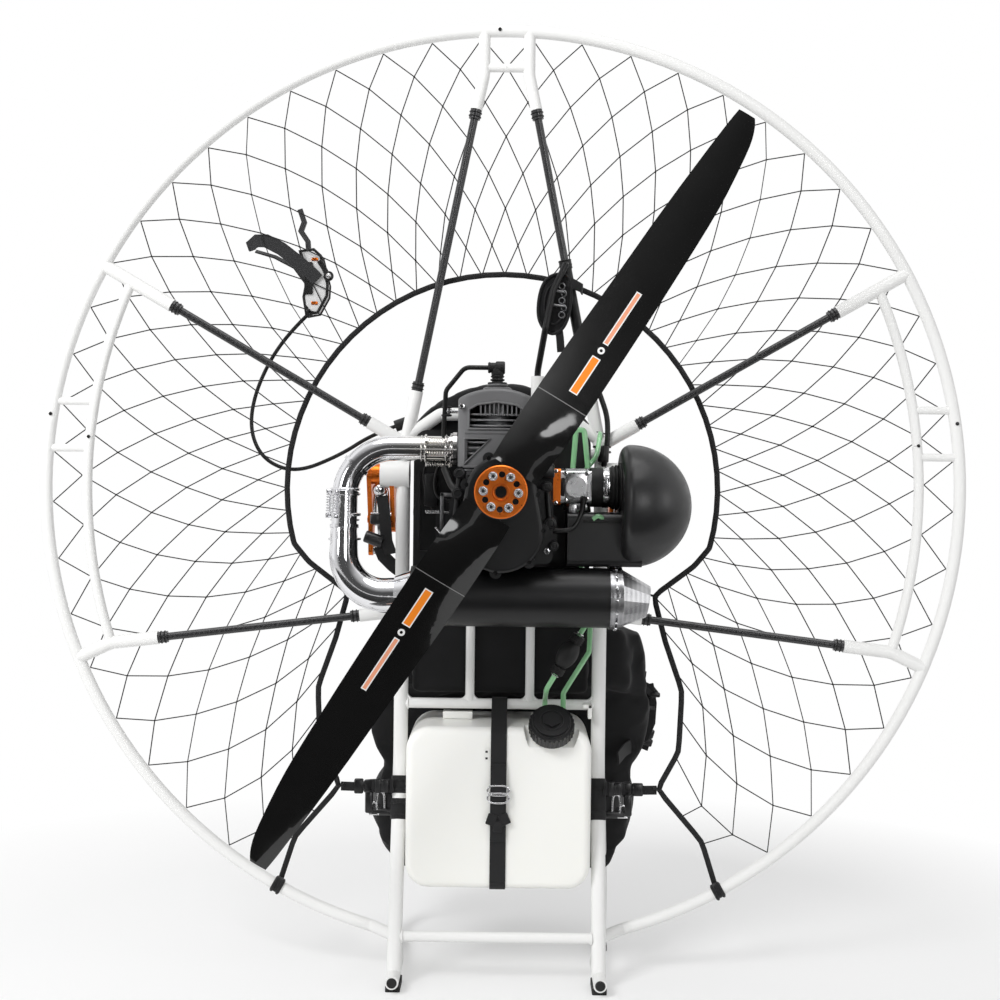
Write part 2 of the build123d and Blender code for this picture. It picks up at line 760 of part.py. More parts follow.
def carburettor():
    left = spacer_left + spacer_thickness
    right = left + carburettor_length
    body = rounded_box((left, right), (engine_y - 24, engine_y + 24),
                       (intake_height - 24, intake_height + 24), 5, Axis.X)
    middle = (left + right) / 2
    bowl = Pos(middle, engine_y, intake_height - 28) * Cylinder(17, 12)
    lid = Pos(middle, engine_y, intake_height + 25) * Box(30, 34, 4)
    shaft = rod((middle, engine_y - 34, intake_height), (middle, engine_y, intake_height), 10)
    pulley = rod((middle, engine_y - 34, intake_height), (middle, engine_y - 29, intake_height), 30)
    return body + bowl + lid + shaft + pulley


def intake_spacer():
    half = spacer_width / 2
    return rounded_box((spacer_left, spacer_left + spacer_thickness), (engine_y - half, engine_y + half),
                       (intake_height - half, intake_height + half), 6, Axis.X)


def intake_sleeve():
    left = spacer_left + spacer_thickness + carburettor_length
    right = left + sleeve_length
    sleeve = rod((left, engine_y, intake_height), (right, engine_y, intake_height), sleeve_diameter)
    for index in range(sleeve_ridges):
        x = right - 14 + index * 5
        sleeve = sleeve + rod((x, engine_y, intake_height), (x + 2, engine_y, intake_height),
                              sleeve_diameter + 6)
    return sleeve - airbox_dome()


def airbox_left():
    return spacer_left + spacer_thickness + carburettor_length + sleeve_length - 2


def airbox_dome():
    left = airbox_left()
    edge = airbox_depth - airbox_radius
    outline = (Polyline((left + airbox_depth, 0), (left, 0), (left, airbox_radius - edge))
               + RadiusArc((left, airbox_radius - edge), (left + edge, airbox_radius), edge)
               + RadiusArc((left + edge, airbox_radius), (left + airbox_depth, 0), airbox_radius))
    dome = revolve(make_face(outline), Axis.X)
    return Pos(0, engine_y, airbox_height) * dome


def airbox():
    box = rounded_box((96, airbox_left() + 30), (engine_y - 42, engine_y + 42),
                      (airbox_height - airbox_radius + 2, airbox_height - 10), 10, Axis.X)
    return airbox_dome() + box


# Fuel

def fuel_tank():
    half = tank_width / 2
    tank = rounded_box((-half, half), (tank_rear, tank_front), (tank_bottom, tank_top), tank_corner, Axis.Y)
    tank = fillet(tank.edges().group_by(Axis.Y)[0] + tank.edges().group_by(Axis.Y)[-1], 12)
    seat = Plane(origin=cap_centre, z_dir=(0, -1, 1))
    tank = tank - seat * Pos(0, 0, 30) * Cylinder(cap_diameter / 2 + 9, 60)
    return tank + seat * Pos(0, 0, cap_lift / 2) * Cylinder(cap_diameter / 2 - 8, cap_lift)


def tank_cap():
    """A skirted cap with a low hexagon on top."""
    seat = Plane(origin=cap_centre, z_dir=(0, -1, 1))
    skirt = seat * Pos(0, 0, cap_lift + cap_height / 2) * Cylinder(cap_diameter / 2, cap_height)
    crown = seat * Pos(0, 0, cap_lift + cap_height + 3) * Cylinder(cap_diameter / 2 - 6, 6)
    knob = seat * Pos(0, 0, cap_lift + cap_height + 6) * extrude(RegularPolygon(14, 6), amount=4)
    return skirt + crown + knob


def tank_strap():
    """A webbing loop hung over the ladder's lower rail and under the tank."""
    half = tank_strap_width / 2
    rail = Pos(0, ladder_bottom) * Circle(cross_tube / 2 + fit)
    corners = [Pos(y, z) * Circle(12) for y in (tank_rear + 12 - fit, tank_front - 12 + fit)
               for z in (tank_bottom + 12 - fit, tank_top - 12 + fit)]
    inner = make_hull((rail + corners[0] + corners[1] + corners[2] + corners[3]).edges())
    outer = offset(inner, tank_strap_thickness)
    return extrude(Plane.YZ * (outer - inner), amount=half, both=True)


def primer_bulb():
    """A squeeze bulb with a ribbed neck at each end."""
    low, high = Vector(*bulb_low), Vector(*bulb_high)
    length = (high - low).length
    full, neck = bulb_diameter / 2, bulb_neck / 2
    belly = ThreePointArc((neck - 2, 12), (full, length / 2), (neck - 2, length - 12))
    outline = (Polyline((neck - 2, length - 12), (neck, length - 12), (neck, length), (0, length), (0, 0),
                        (neck, 0), (neck, 12), (neck - 2, 12)) + belly)
    bulb = revolve(make_face(outline), Axis.Y)
    along = (high - low).normalized()
    return Plane(origin=low, x_dir=(0, 1, 0), z_dir=along) * Rot(90, 0, 0) * bulb


def fuel_hoses():
    """Hoses up to the priming bulb, on to the carburettor, and looped over it."""
    low, high = Vector(*bulb_low), Vector(*bulb_high)
    along = (high - low).normalized()
    left = spacer_left + spacer_thickness + carburettor_length / 2
    feed = bent([(70, -20, tank_top), (70, -20, tank_top + 34), low - along * (hose_lead + 4), low],
                fuel_hose, 12)
    deliver = bent([high, high + along * hose_lead, (126, -58, high.Z + 64), (left, -58, intake_height),
                    (left, engine_y + 24, intake_height)], fuel_hose, 12)
    vent = bent([(98, -20, tank_top), (98, -20, tank_top + 46), (136, -36, tank_top + 112),
                 (138, -38, tank_top + 174)], fuel_hose, 12)
    loop_y = engine_y - 8
    base = intake_height + 27.5
    peak = intake_height + hose_loop
    loop = bent([(104, loop_y, base), (108, loop_y, peak), (120, loop_y, peak), (126, loop_y, base)],
                fuel_hose, 5)
    return Compound([feed, deliver, vent, loop])


# Harness

def harness_back():
    """The padded back panel, arched at the top."""
    half = pad_width / 2
    rear = arch_tube / 2 + fit
    outline = (Polyline((-half, pad_shoulder), (-half, pad_bottom), (half, pad_bottom), (half, pad_shoulder))
               + ThreePointArc((half, pad_shoulder), (0, pad_top), (-half, pad_shoulder)))
    pad = extrude(Plane.XZ.offset(-rear) * make_face(outline), amount=-pad_depth)
    return fillet(pad.edges().group_by(Axis.Y)[-1], 12)


def harness_seat():
    """The seat, folded down in front of the tank: waisted, and narrower at its foot."""
    rear = arch_tube / 2 + fit + pad_depth + fit
    front = rear + seat_reach
    right = [(half, z) for half, z in seat_outline]
    left = [(-half, z) for half, z in reversed(seat_outline)]
    outline = make_face(Polyline(*right, *left, right[0]))
    outline = fillet(outline.vertices(), 18)
    profile = make_face(Polyline((rear, pad_bottom + 10), (rear, seat_top), (rear + 62, seat_top),
                                 (rear + 112, pad_bottom), (rear + 128, 250), (front, seat_bottom + 22),
                                 (front - 8, seat_bottom), (front - seat_depth, seat_bottom),
                                 (rear + 54, 232), (rear + 50, pad_bottom - 20), (rear, pad_bottom + 10)))
    profile = fillet(profile.vertices(), 9)
    body = extrude(Plane.YZ * profile, amount=seat_width / 2 + 10, both=True)
    return largest(body & extrude(Plane.XZ * outline, amount=-front - 10))


def shoulder_straps():
    front = arch_tube / 2 + fit + pad_depth
    straps = []
    for side in (-1, 1):
        path = FilletPolyline((side * 75, front + fit, pad_top - 70), (side * 75, front + 80, pad_top - 70),
                              (side * 85, front + 104, hub_height - 45),
                              (side * 105, front + 40, seat_top + 50),
                              (side * 105, front + 40, seat_top + fit), radius=22)
        section = Plane(origin=path @ 0, x_dir=(1, 0, 0), z_dir=path % 0) * Rectangle(55, 8)
        straps.append(sweep(section, path=path))
    return Compound(straps)


# Swing arms

def swing_bracket():
    """Two plates hung from the frame's boss, with the arm's root between them."""
    gap = arm_thickness / 2 + arm_side_gap
    inner, outer = arm_x - gap - bracket_plate, arm_x + gap
    outline = make_hull((Pos(pivot_y, pivot_height) * Circle(20) + Pos(0, boss_height) * Circle(18)).edges())
    foot = make_hull((Pos(pivot_y, pivot_height) * Circle(20)
                      + Pos(pivot_y - 6, pivot_height - 48) * Circle(9)).edges())
    bracket = extrude(Plane.YZ.offset(outer) * (outline + foot), amount=bracket_plate)
    bracket = bracket + extrude(Plane.YZ.offset(inner) * outline, amount=bracket_plate)
    bracket = bracket + rod((inner, 0, boss_height), (outer + bracket_plate, 0, boss_height), 32)
    bracket = bracket + rod((inner - 2, pivot_y, pivot_height),
                            (outer + bracket_plate + 3, pivot_y, pivot_height), pivot_pin)
    return bracket - rod((0, 0, boss_height), (upright_x + 35, 0, boss_height), boss_tube)


def arm_height(y):
    """Height of the arm's middle line over its front run."""
    return pivot_height + arm_rise - (y - arm_knee) / 8


def swing_arm():
    """A cranked bar from the pivot forward to the hang point."""
    tip = pivot_y + arm_reach
    root = Pos(pivot_y, pivot_height) * Circle(arm_root)
    knee = Pos(arm_knee, arm_height(arm_knee)) * Circle(arm_half)
    end = Pos(tip, arm_height(tip)) * Circle(arm_half)
    outline = make_hull((root + knee).edges()) + make_hull((knee + end).edges())
    outline = outline - Pos(pivot_y, pivot_height) * Circle(pivot_pin / 2 + fit)
    for step in range(hang_holes):
        y = tip - step * hang_spacing
        outline = outline - Pos(y, arm_height(y)) * Circle(hang_hole / 2)
    return extrude(Plane.YZ.offset(arm_x - arm_thickness / 2) * outline, amount=arm_thickness)


# Starter pull and throttle

def right_spar_run():
    return rod(*spar_ends(upper_spar)[:2], spar_tube + 2 * fit)


def starter_pull():
    """The pull-start pouch, strapped beside the upper right spar."""
    outline = fillet(make_face(Polyline(*pouch_outline, pouch_outline[0])).vertices(), 11)
    outline = Pos(0, hub_height) * outline
    pouch = extrude(Plane.XZ.offset(-pouch_y[0]) * outline, amount=pouch_y[0] - pouch_y[1])
    pouch = fillet(pouch.edges().group_by(Axis.Y)[0], 3)
    return largest(pouch - right_spar_run())


def starter_guide():
    """The tube that leads the starter rope from its socket up to the spar."""
    rope_y = pouch_y[0] - guide_tube / 2 - 4
    top = hub_height + 347
    tube = bent([(guide_x, 0, guide_socket_top), (guide_x, 0, guide_socket_top + 8), (63, rope_y, top - 102),
                 (74, rope_y, top - 42), (94, rope_y + 4, top)], guide_tube, 20)
    hook = rod((94, rope_y + 4, top - 2), (96, -10, top + 6), guide_tube - 3)
    return largest(tube + hook - right_spar_run() - starter_pull())


def throttle_grip():
    """The hand grip, trimmed square to the cable that leaves it."""
    outline = Pos(0, hub_height) * fillet(make_face(Polyline(*grip_outline, grip_outline[0])).vertices(), 3)
    grip = extrude(Plane.XZ.offset(-grip_y[0]) * outline, amount=grip_y[0] - grip_y[1])
    grip = fillet(grip.edges().group_by(Axis.Y)[0] + grip.edges().group_by(Axis.Y)[-1], 4)
    start, after = Vector(*throttle_route[0]), Vector(*throttle_route[1])
    away = Plane(origin=start, z_dir=after - start) * Pos(0, 0, 20) * Box(60, 60, 40)
    return largest(grip - away)


def throttle_lever():
    """The finger lever, wavy and flat."""
    path = Pos(0, hub_height) * Polyline(*lever_points)
    lever = extrude(Plane.XZ.offset(-grip_middle - 3) * trace(path, 8), amount=6)
    return largest(lever - throttle_grip())


def throttle_clip():
    """Holds the cable's end on the arch."""
    end, before = Vector(*throttle_route[-1]), Vector(*throttle_route[-2])
    along = (end - before).normalized()
    return largest(rod(end, end + along * clip_length, clip_diameter) - frame_arch())


def cable_path(points):
    """Straight runs joined by a bend of its own radius at each point."""
    runs, radii = [], []
    edges = []
    previous = Vector(*points[0])
    for before, here, after in zip(points, points[1:], points[2:]):
        before, here, after = Vector(*before), Vector(*here), Vector(*after)
        arriving, leaving = here - before, after - here
        turn = math.radians(arriving.get_angle(leaving))
        radius = 0.45 * min(arriving.length, leaving.length) / math.tan(turn / 2)
        reach = radius * math.tan(turn / 2)
        start, end = here - arriving.normalized() * reach, here + leaving.normalized() * reach
        edges.append(Line(previous, start))
        edges.append(Line(start, end) if turn < 0.001 else TangentArc(start, end, tangent=arriving))
        radii.append(round(radius))
        previous = end
    edges.append(Line(previous, Vector(*points[-1])))
    print("cable bends", radii, "diameter", cable_diameter)
    return Wire([edge.edge() for edge in edges])


def throttle_cable():
    path = cable_path(throttle_route)
    cable = tube_along(path, cable_diameter)
    print("cable length", round(path.length), "volume share",
          round(cable.volume / (path.length * math.pi * cable_diameter ** 2 / 4), 4))
    return cable


# Propeller

def blade_section(station):
    """A lens with a flat pressure side to the rear, set at the blade's angle here."""
    share, width, thickness, lead, angle = station
    root = hub_radius - blade_seat
    radius = root + share * (propeller_radius - root)
    pitch = math.radians(angle)
    chord, lead = width / math.cos(pitch), lead / math.cos(pitch)
    ahead = Vector(0, math.sin(pitch), math.cos(pitch))
    front = Vector(0, math.cos(pitch), -math.sin(pitch))
    nose = Vector(radius, 0, 0) + ahead * lead
    tail = nose - ahead * chord
    middle = (nose + tail) / 2
    upper = ThreePointArc(nose, middle + ahead * chord * 0.12 + front * thickness * 0.75, tail)
    lower = ThreePointArc(tail, middle - front * thickness * 0.25, nose)
    return make_face(upper + lower)


def propeller():
    blade = loft([blade_section(station) for station in blade_stations])
    y = hub_front - hub_thickness / 2
    hub = rod((0, hub_front - hub_thickness, 0), (0, hub_front, 0), 2 * hub_radius)
    blade = Pos(0, y, 0) * blade
    whole = hub + blade + Rot(0, 180, 0) * blade
    for face, side in ((hub_front, 1), (hub_front - hub_thickness, -1)):
        whole = whole - rod((0, face, 0), (0, face + side * 30, 0), 2 * hub_radius)
    return Pos(0, 0, hub_height) * Rot(0, -blade_angle, 0) * whole


def hub_plate():
    rear = hub_front - hub_thickness - hub_plate_thickness
    plate = rod((0, rear, 0), (0, rear + hub_plate_thickness, 0), 2 * hub_plate_radius)
    plate = chamfer(plate.edges().sort_by(Axis.Y)[0], 1.5)
    plate = plate - rod((0, rear - 1, 0), (0, rear + 2 * hub_plate_thickness, 0), hub_bore)
    plate = plate - rod((0, rear - 1, 0), (0, rear + countersink_depth, 0), hub_countersink)
    for index in range(6):
        hole = Pos(0, rear, 0) * Rot(90, 0, 0) * Cylinder(bolt_hole / 2, 60)
        plate = plate - Rot(0, index * 60 + 30, 0) * Pos(bolt_circle / 2, 0, 0) * hole
    return Pos(0, 0, hub_height) * Rot(0, -blade_angle, 0) * plate


def hub_bolts():
    rear = hub_front - hub_thickness - hub_plate_thickness
    bolts = []
    for index in range(6):
        head = Pos(0, rear - 4, 0) * Rot(90, 0, 0) * Cylinder(6.3, 8)
        turned = Rot(0, index * 60, 0) * Pos(bolt_circle / 2, 0, 0) * head
        bolts.append(Pos(0, 0, hub_height) * Rot(0, -blade_angle, 0) * turned)
    return Compound(bolts)


def all_nodes():
    nodes = {}
    for side, name in ((-1, "left"), (1, "right")):
        nodes["upright_" + name] = sided(upright(), side)
        nodes["skid_" + name] = sided(skid(), side)
        nodes["skid_plug_" + name] = sided(skid_plug(), side)
        nodes["cage_upper_" + name] = sided(upper_quarter(), side)
        nodes["cage_lower_" + name] = sided(lower_quarter(), side)
        nodes["upper_spar_" + name] = sided(spar(upper_spar), side)
        nodes["side_spar_" + name] = sided(spar(side_spar), side)
        nodes["lower_spar_" + name] = sided(spar(lower_spar), side)
        nodes["swing_bracket_" + name] = sided(swing_bracket(), side)
        nodes["swing_arm_" + name] = sided(swing_arm(), side)
    pads = [sided(skid_pad(y), side) for side in (-1, 1) for y in pad_places]
    nodes["skid_pads"] = Compound(pads)
    nodes["frame_arch"] = frame_arch()
    nodes["engine_cross_tube"] = between_uprights(cross_bar(engine_tube_height))
    nodes["back_ladder"] = back_ladder()
    nodes["low_cross_tube"] = low_cross_tube()
    nodes["net_edge"] = net_edge()
    nodes["engine_plate"] = engine_plate()
    nodes["engine_mounts"] = engine_mounts()
    nodes["crankcase"] = crankcase()
    nodes["gearbox_housing"] = gearbox_housing()
    nodes["starter_housing"] = starter_housing()
    nodes["cylinder"] = cylinder()
    nodes["cooling_shroud"] = cooling_shroud()
    nodes["spark_plug_cap"] = spark_plug_cap()
    nodes["ignition_lead"] = ignition_lead()
    nodes["exhaust_pipe"] = exhaust_pipe()
    nodes["silencer"] = silencer()
    nodes["silencer_tip"] = silencer_tip()
    nodes["intake_spacer"] = intake_spacer()
    nodes["carburettor"] = carburettor()
    nodes["intake_sleeve"] = intake_sleeve()
    nodes["airbox"] = airbox()
    nodes["fuel_tank"] = fuel_tank()
    nodes["tank_cap"] = tank_cap()
    nodes["tank_strap"] = tank_strap()
    nodes["primer_bulb"] = primer_bulb()
    nodes["fuel_hoses"] = fuel_hoses()
    nodes["harness_back"] = harness_back()
    nodes["harness_seat"] = harness_seat()
    nodes["shoulder_straps"] = shoulder_straps()
    nodes["starter_pull"] = starter_pull()
    nodes["starter_guide"] = starter_guide()
    nodes["throttle_grip"] = throttle_grip()
    nodes["throttle_lever"] = throttle_lever()
    nodes["throttle_clip"] = throttle_clip()
    nodes["throttle_cable"] = throttle_cable()
    nodes["output_flange"] = output_flange()
    nodes["propeller"] = propeller()
    nodes["hub_plate"] = hub_plate()
    nodes["hub_bolts"] = hub_bolts()
    return nodes


def middle_shift(nodes):
    """Moves the set's middle, fore and aft, over the origin."""
    boxes = [shape.bounding_box() for name, shape in nodes.items() if name != "throttle_cable"]
    return -(min(b.min.Y for b in boxes) + max(b.max.Y for b in boxes)) / 2


nodes = all_nodes()
shift = middle_shift(nodes)
os.makedirs("parts", exist_ok=True)
for name, shape in nodes.items():
    export_step(Pos(0, shift, 0) * shape, "parts/" + name + ".step")
print("moved along Y by", round(shift, 3))
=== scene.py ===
import bpy
import bmesh
import json
import math
from mathutils import Matrix, Vector


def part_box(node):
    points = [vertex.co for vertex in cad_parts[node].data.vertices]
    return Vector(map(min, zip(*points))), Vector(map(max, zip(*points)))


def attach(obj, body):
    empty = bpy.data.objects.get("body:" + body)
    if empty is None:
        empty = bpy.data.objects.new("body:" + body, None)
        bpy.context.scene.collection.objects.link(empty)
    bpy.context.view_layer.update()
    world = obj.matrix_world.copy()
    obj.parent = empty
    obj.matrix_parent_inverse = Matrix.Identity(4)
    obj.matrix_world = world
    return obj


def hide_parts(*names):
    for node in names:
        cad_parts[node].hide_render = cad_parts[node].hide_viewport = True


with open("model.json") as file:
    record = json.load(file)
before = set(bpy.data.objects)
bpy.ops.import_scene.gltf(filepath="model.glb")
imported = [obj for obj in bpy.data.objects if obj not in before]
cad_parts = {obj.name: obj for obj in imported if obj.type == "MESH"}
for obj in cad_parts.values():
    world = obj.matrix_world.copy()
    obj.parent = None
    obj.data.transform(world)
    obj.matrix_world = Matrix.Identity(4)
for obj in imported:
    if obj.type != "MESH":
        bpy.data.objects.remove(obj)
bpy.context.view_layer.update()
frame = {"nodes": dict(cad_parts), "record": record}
nodes = frame["nodes"]
print("frame loaded:", len(nodes), "nodes")

mm = 0.001
low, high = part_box("engine_cross_tube")
chassisY = (low.y + high.y) / 2          # plane of the welded frame's uprights
low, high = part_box("cage_upper_left")
hoopY = (low.y + high.y) / 2
hubLow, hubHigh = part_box("hub_plate")
hubHeight = (hubLow.z + hubHigh.z) / 2


def at(x, y, z):
    # a point in millimetres, y counted from the uprights' plane
    return Vector((x * mm, chassisY + y * mm, z * mm))


# camera

cameraSet = {"x": 0.0127, "back": 2.1, "height": 0.764, "yaw": 0.43, "pitch": 0.93, "roll": 0.665,
             "lens": 48.72, "sensor": 36}
cameraData = bpy.data.cameras.new("camera")
camera = bpy.data.objects.new("camera", cameraData)
bpy.context.scene.collection.objects.link(camera)
bpy.context.scene.camera = camera
cameraData.lens = cameraSet["lens"]
cameraData.sensor_width = cameraSet["sensor"]
camera.location = (cameraSet["x"], chassisY - cameraSet["back"], cameraSet["height"])
turn = (Matrix.Rotation(math.radians(cameraSet["yaw"]), 4, "Z")
        @ Matrix.Rotation(math.radians(90 - cameraSet["pitch"]), 4, "X")
        @ Matrix.Rotation(math.radians(cameraSet["roll"]), 4, "Z"))
camera.rotation_euler = turn.to_euler()
print("camera placed")


# helpers

def deselect():
    if bpy.context.object and bpy.context.object.mode != "OBJECT":
        bpy.ops.object.mode_set(mode="OBJECT")
    bpy.ops.object.select_all(action="DESELECT")


def only(obj):
    deselect()
    obj.select_set(True)
    bpy.context.view_layer.objects.active = obj
    return obj


def named(name):
    obj = bpy.context.object
    obj.name = name
    obj.data.name = name
    return obj


def settle(obj):
    # place into the mesh, so that the object stands at the origin, unturned
    only(obj)
    bpy.ops.object.transform_apply(location=True, rotation=True, scale=True)
    return obj


def toMesh(obj):
    only(obj)
    bpy.ops.object.convert(target="MESH")
    return bpy.context.object


def smooth(obj, angle=40):
    only(obj)
    bpy.ops.object.shade_smooth_by_angle(angle=math.radians(angle))
    return obj


def joined(objects, name):
    deselect()
    for obj in objects:
        obj.select_set(True)
    bpy.context.view_layer.objects.active = objects[0]
    if len(objects) > 1:
        bpy.ops.object.join()
    return named(name)


def give(obj, material):
    obj.data.materials.clear()
    obj.data.materials.append(material)
    return obj


def piece(obj, slot, replaces=(), body="frame", finish=None):
    # a visible piece: its look, the body it rides on and the solids it stands for
    give(obj, finishes[finish or slot])
    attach(obj, body)
    if replaces:
        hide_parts(*replaces)
    return obj


def line(name, points, thickness, kind="NURBS", order=3, sides=2, cyclic=False):
    # a round strand along points
    curve = bpy.data.curves.new(name, "CURVE")
    curve.dimensions = "3D"
    curve.bevel_depth = thickness / 2
    curve.bevel_resolution = sides
    curve.use_fill_caps = True
    addStrand(curve, points, kind, order, cyclic)
    obj = bpy.data.objects.new(name, curve)
    bpy.context.scene.collection.objects.link(obj)
    return obj


def addStrand(curve, points, kind="POLY", order=3, cyclic=False):
    spline = curve.splines.new(kind)
    spline.points.add(len(points) - 1)
    for place, point in zip(spline.points, points):
        place.co = (*point, 1)
    if kind == "NURBS":
        spline.order_u = order
        spline.use_endpoint_u = not cyclic
    spline.use_cyclic_u = cyclic
    return spline


def barrel(start, end, radius, sides=32, soft=0.0, name="barrel"):
    # a round bar between two points, its rims softened
    start, end = Vector(start), Vector(end)
    span = end - start
    deselect()
    bpy.ops.mesh.primitive_cylinder_add(vertices=sides, radius=radius, depth=span.length,
                                        location=(start + end) / 2,
                                        rotation=span.to_track_quat("Z", "Y").to_euler())
    obj = settle(named(name))
    if soft:
        soften(obj, soft)
    return smooth(obj)


def block(low, high, soft=0.0, name="block", angles=(0, 0, 0)):
    # a box given by its low and high corners
    low, high = Vector(low), Vector(high)
    deselect()
    bpy.ops.mesh.primitive_cube_add(size=1, location=(low + high) / 2, rotation=angles, scale=high - low)
    obj = settle(named(name))
    if soft:
        soften(obj, soft)
    return smooth(obj)


def soften(obj, width, segments=2):
    bevel = obj.modifiers.new("soft", "BEVEL")
    bevel.width, bevel.segments, bevel.limit_method = width, segments, "ANGLE"
    applyAll(obj)


def applyAll(obj):
    only(obj)
    for modifier in list(obj.modifiers):
        bpy.ops.object.modifier_apply(modifier=modifier.name)
    return obj


def hoopRing(place, direction, radius, thickness, name="ring", sides=40):
    # a torus round a place, its axis along a direction
    deselect()
    bpy.ops.mesh.primitive_torus_add(major_radius=radius, minor_radius=thickness / 2, major_segments=sides,
                                     minor_segments=10, location=place,
                                     rotation=Vector(direction).to_track_quat("Z", "Y").to_euler())
    return smooth(settle(named(name)), 60)


def spring(start, end, radius, wire, turns, name="spring"):
    # a helix between two points
    start, end = Vector(start), Vector(end)
    axis = (end - start).normalized()
    side = axis.orthogonal().normalized()
    other = axis.cross(side)
    points = []
    for step in range(turns * 10 + 1):
        angle = math.radians(step * 36)
        points.append(start.lerp(end, step / (turns * 10)) + (side * math.cos(angle) + other * math.sin(angle))
                      * radius)
    return smooth(toMesh(line(name, points, wire, "POLY", sides=1)), 60)


def ribbon(points, across, width, thickness, name="ribbon", soft=0.0004):
    # a flat strap along points; across is its width's direction, one for all or one per point
    points = [Vector(point) for point in points]
    bm = bmesh.new()
    rings = []
    for index, point in enumerate(points):
        before, after = points[max(index - 1, 0)], points[min(index + 1, len(points) - 1)]
        along = (after - before).normalized()
        wide = Vector(across[index] if isinstance(across, list) else across)
        wide = (wide - along * wide.dot(along)).normalized() * width / 2
        high = along.cross(wide).normalized() * thickness / 2
        rings.append([bm.verts.new(point + corner)
                      for corner in (wide + high, high - wide, -wide - high, wide - high)])
    for first, second in zip(rings, rings[1:]):
        for corner in range(4):
            bm.faces.new((first[corner], first[(corner + 1) % 4], second[(corner + 1) % 4], second[corner]))
    bm.faces.new(reversed(rings[0]))
    bm.faces.new(rings[-1])
    bmesh.ops.recalc_face_normals(bm, faces=bm.faces)
    mesh = bpy.data.meshes.new(name)
    bm.to_mesh(mesh)
    bm.free()
    obj = bpy.data.objects.new(name, mesh)
    bpy.context.scene.collection.objects.link(obj)
    if soft:
        soften(obj, soft, 1)
    return smooth(obj)


def curved(points, steps=8):
    # points along a smooth line through the given ones
    points = [Vector(point) for point in points]
    ends = [points[0] * 2 - points[1]] + points + [points[-1] * 2 - points[-2]]
    path = []
    for a, b, c, d in zip(ends, ends[1:], ends[2:], ends[3:]):
        for step in range(steps):
            t = step / steps
            path.append(0.5 * ((2 * b) + (c - a) * t + (2 * a - 5 * b + 4 * c - d) * t * t
                               + (3 * b - a - 3 * c + d) * t * t * t))
    return path + [points[-1]]


def hose(points, thickness, name, sides=4):
    return smooth(toMesh(line(name, curved(points), thickness, "POLY", sides=sides)), 60)


# cord: the throttle's cable

throttleSet = {"cable": 6 * mm, "length": 0.49,
               "route": [(-301, 20, 1022), (-344, 20, 982), (-386, 20, 905), (-398, 20, 838), (-376, 20, 788),
                         (-324, 20, 768), (-254, 19, 797), (-206, 18, 829), (-168, 17, 843)]}
cablePoints = [at(*point) for point in throttleSet["route"]]
throttleCable = line("throttleCable", cablePoints, throttleSet["cable"], sides=6)
print("cord laid")


# shader maths

class Flow:
    # one socket of a finish, used like a number
    def __init__(self, shop, socket):
        self.shop, self.socket = shop, socket

    def math(self, operation, *others):
        return self.shop.node("ShaderNodeMath", {"operation": operation}, dict(enumerate((self, *others))))

    def __add__(self, other): return self.math("ADD", other)
    def __sub__(self, other): return self.math("SUBTRACT", other)
    def __mul__(self, other): return self.math("MULTIPLY", other)
    def __pow__(self, other): return self.math("POWER", other)
    def __gt__(self, other): return self.math("GREATER_THAN", other)
    def __lt__(self, other): return self.math("LESS_THAN", other)


class Finish:
    # one material, its nodes added by node()
    def __init__(self, name, colour, roughness=0.5, metallic=0.0, **fixed):
        self.material = bpy.data.materials.new(name)
        self.material.use_nodes = True
        self.tree = self.material.node_tree
        self.shader = self.tree.nodes["Principled BSDF"]
        self.set("Base Color", colour)
        self.set("Roughness", roughness)
        self.set("Metallic", metallic)
        for key, value in fixed.items():
            self.set(key.replace("_", " "), value)

    def set(self, key, value, node=None):
        socket = (node or self.shader).inputs[key]
        if isinstance(value, Flow):
            self.tree.links.new(value.socket, socket)
        elif isinstance(value, tuple) and len(value) == 3 and socket.type == "RGBA":
            socket.default_value = (*value, 1)
        else:
            socket.default_value = value

    def node(self, kind, settings=None, values=None, output=0):
        node = self.tree.nodes.new(kind)
        for key, value in (settings or {}).items():
            if key == "stops":
                while len(node.color_ramp.elements) < len(value):
                    node.color_ramp.elements.new(0.5)
                for element, (place, colour) in zip(node.color_ramp.elements, value):
                    element.position = place
                    element.color = (*colour, 1)
            else:
                setattr(node, key, value)
        for key, value in (values or {}).items():
            self.set(key, value, node)
        return Flow(self, node.outputs[output])

    def place(self):
        return self.node("ShaderNodeTexCoord", output="Object")

    def parts(self, vector):
        split = self.node("ShaderNodeSeparateXYZ", None, {0: vector})
        outputs = self.tree.nodes[-1].outputs
        return [Flow(self, outputs[index]) for index in range(3)]

    def noise(self, scale, detail=3, vector=None):
        return self.node("ShaderNodeTexNoise", None,
                         {"Vector": vector or self.place(), "Scale": scale, "Detail": detail, "Roughness": 0.5})

    def ramp(self, value, *stops):
        return self.node("ShaderNodeValToRGB", {"stops": stops}, {"Fac": value})

    def span(self, value, fromLow, fromHigh, toLow, toHigh):
        return self.node("ShaderNodeMapRange", None,
                         {"Value": value, "From Min": fromLow, "From Max": fromHigh, "To Min": toLow,
                          "To Max": toHigh})

    def mix(self, factor, first, second):
        return self.node("ShaderNodeMix", {"data_type": "RGBA"}, {0: factor, 6: first, 7: second}, output=2)

    def bump(self, height, strength=0.3, distance=0.001):
        bump = self.node("ShaderNodeBump", None, {"Height": height, "Strength": strength, "Distance": distance})
        self.set("Normal", bump)

    def colour(self, value):
        self.set("Base Color", value)
        return self

    def rough(self, value):
        self.set("Roughness", value)
        return self


# materials

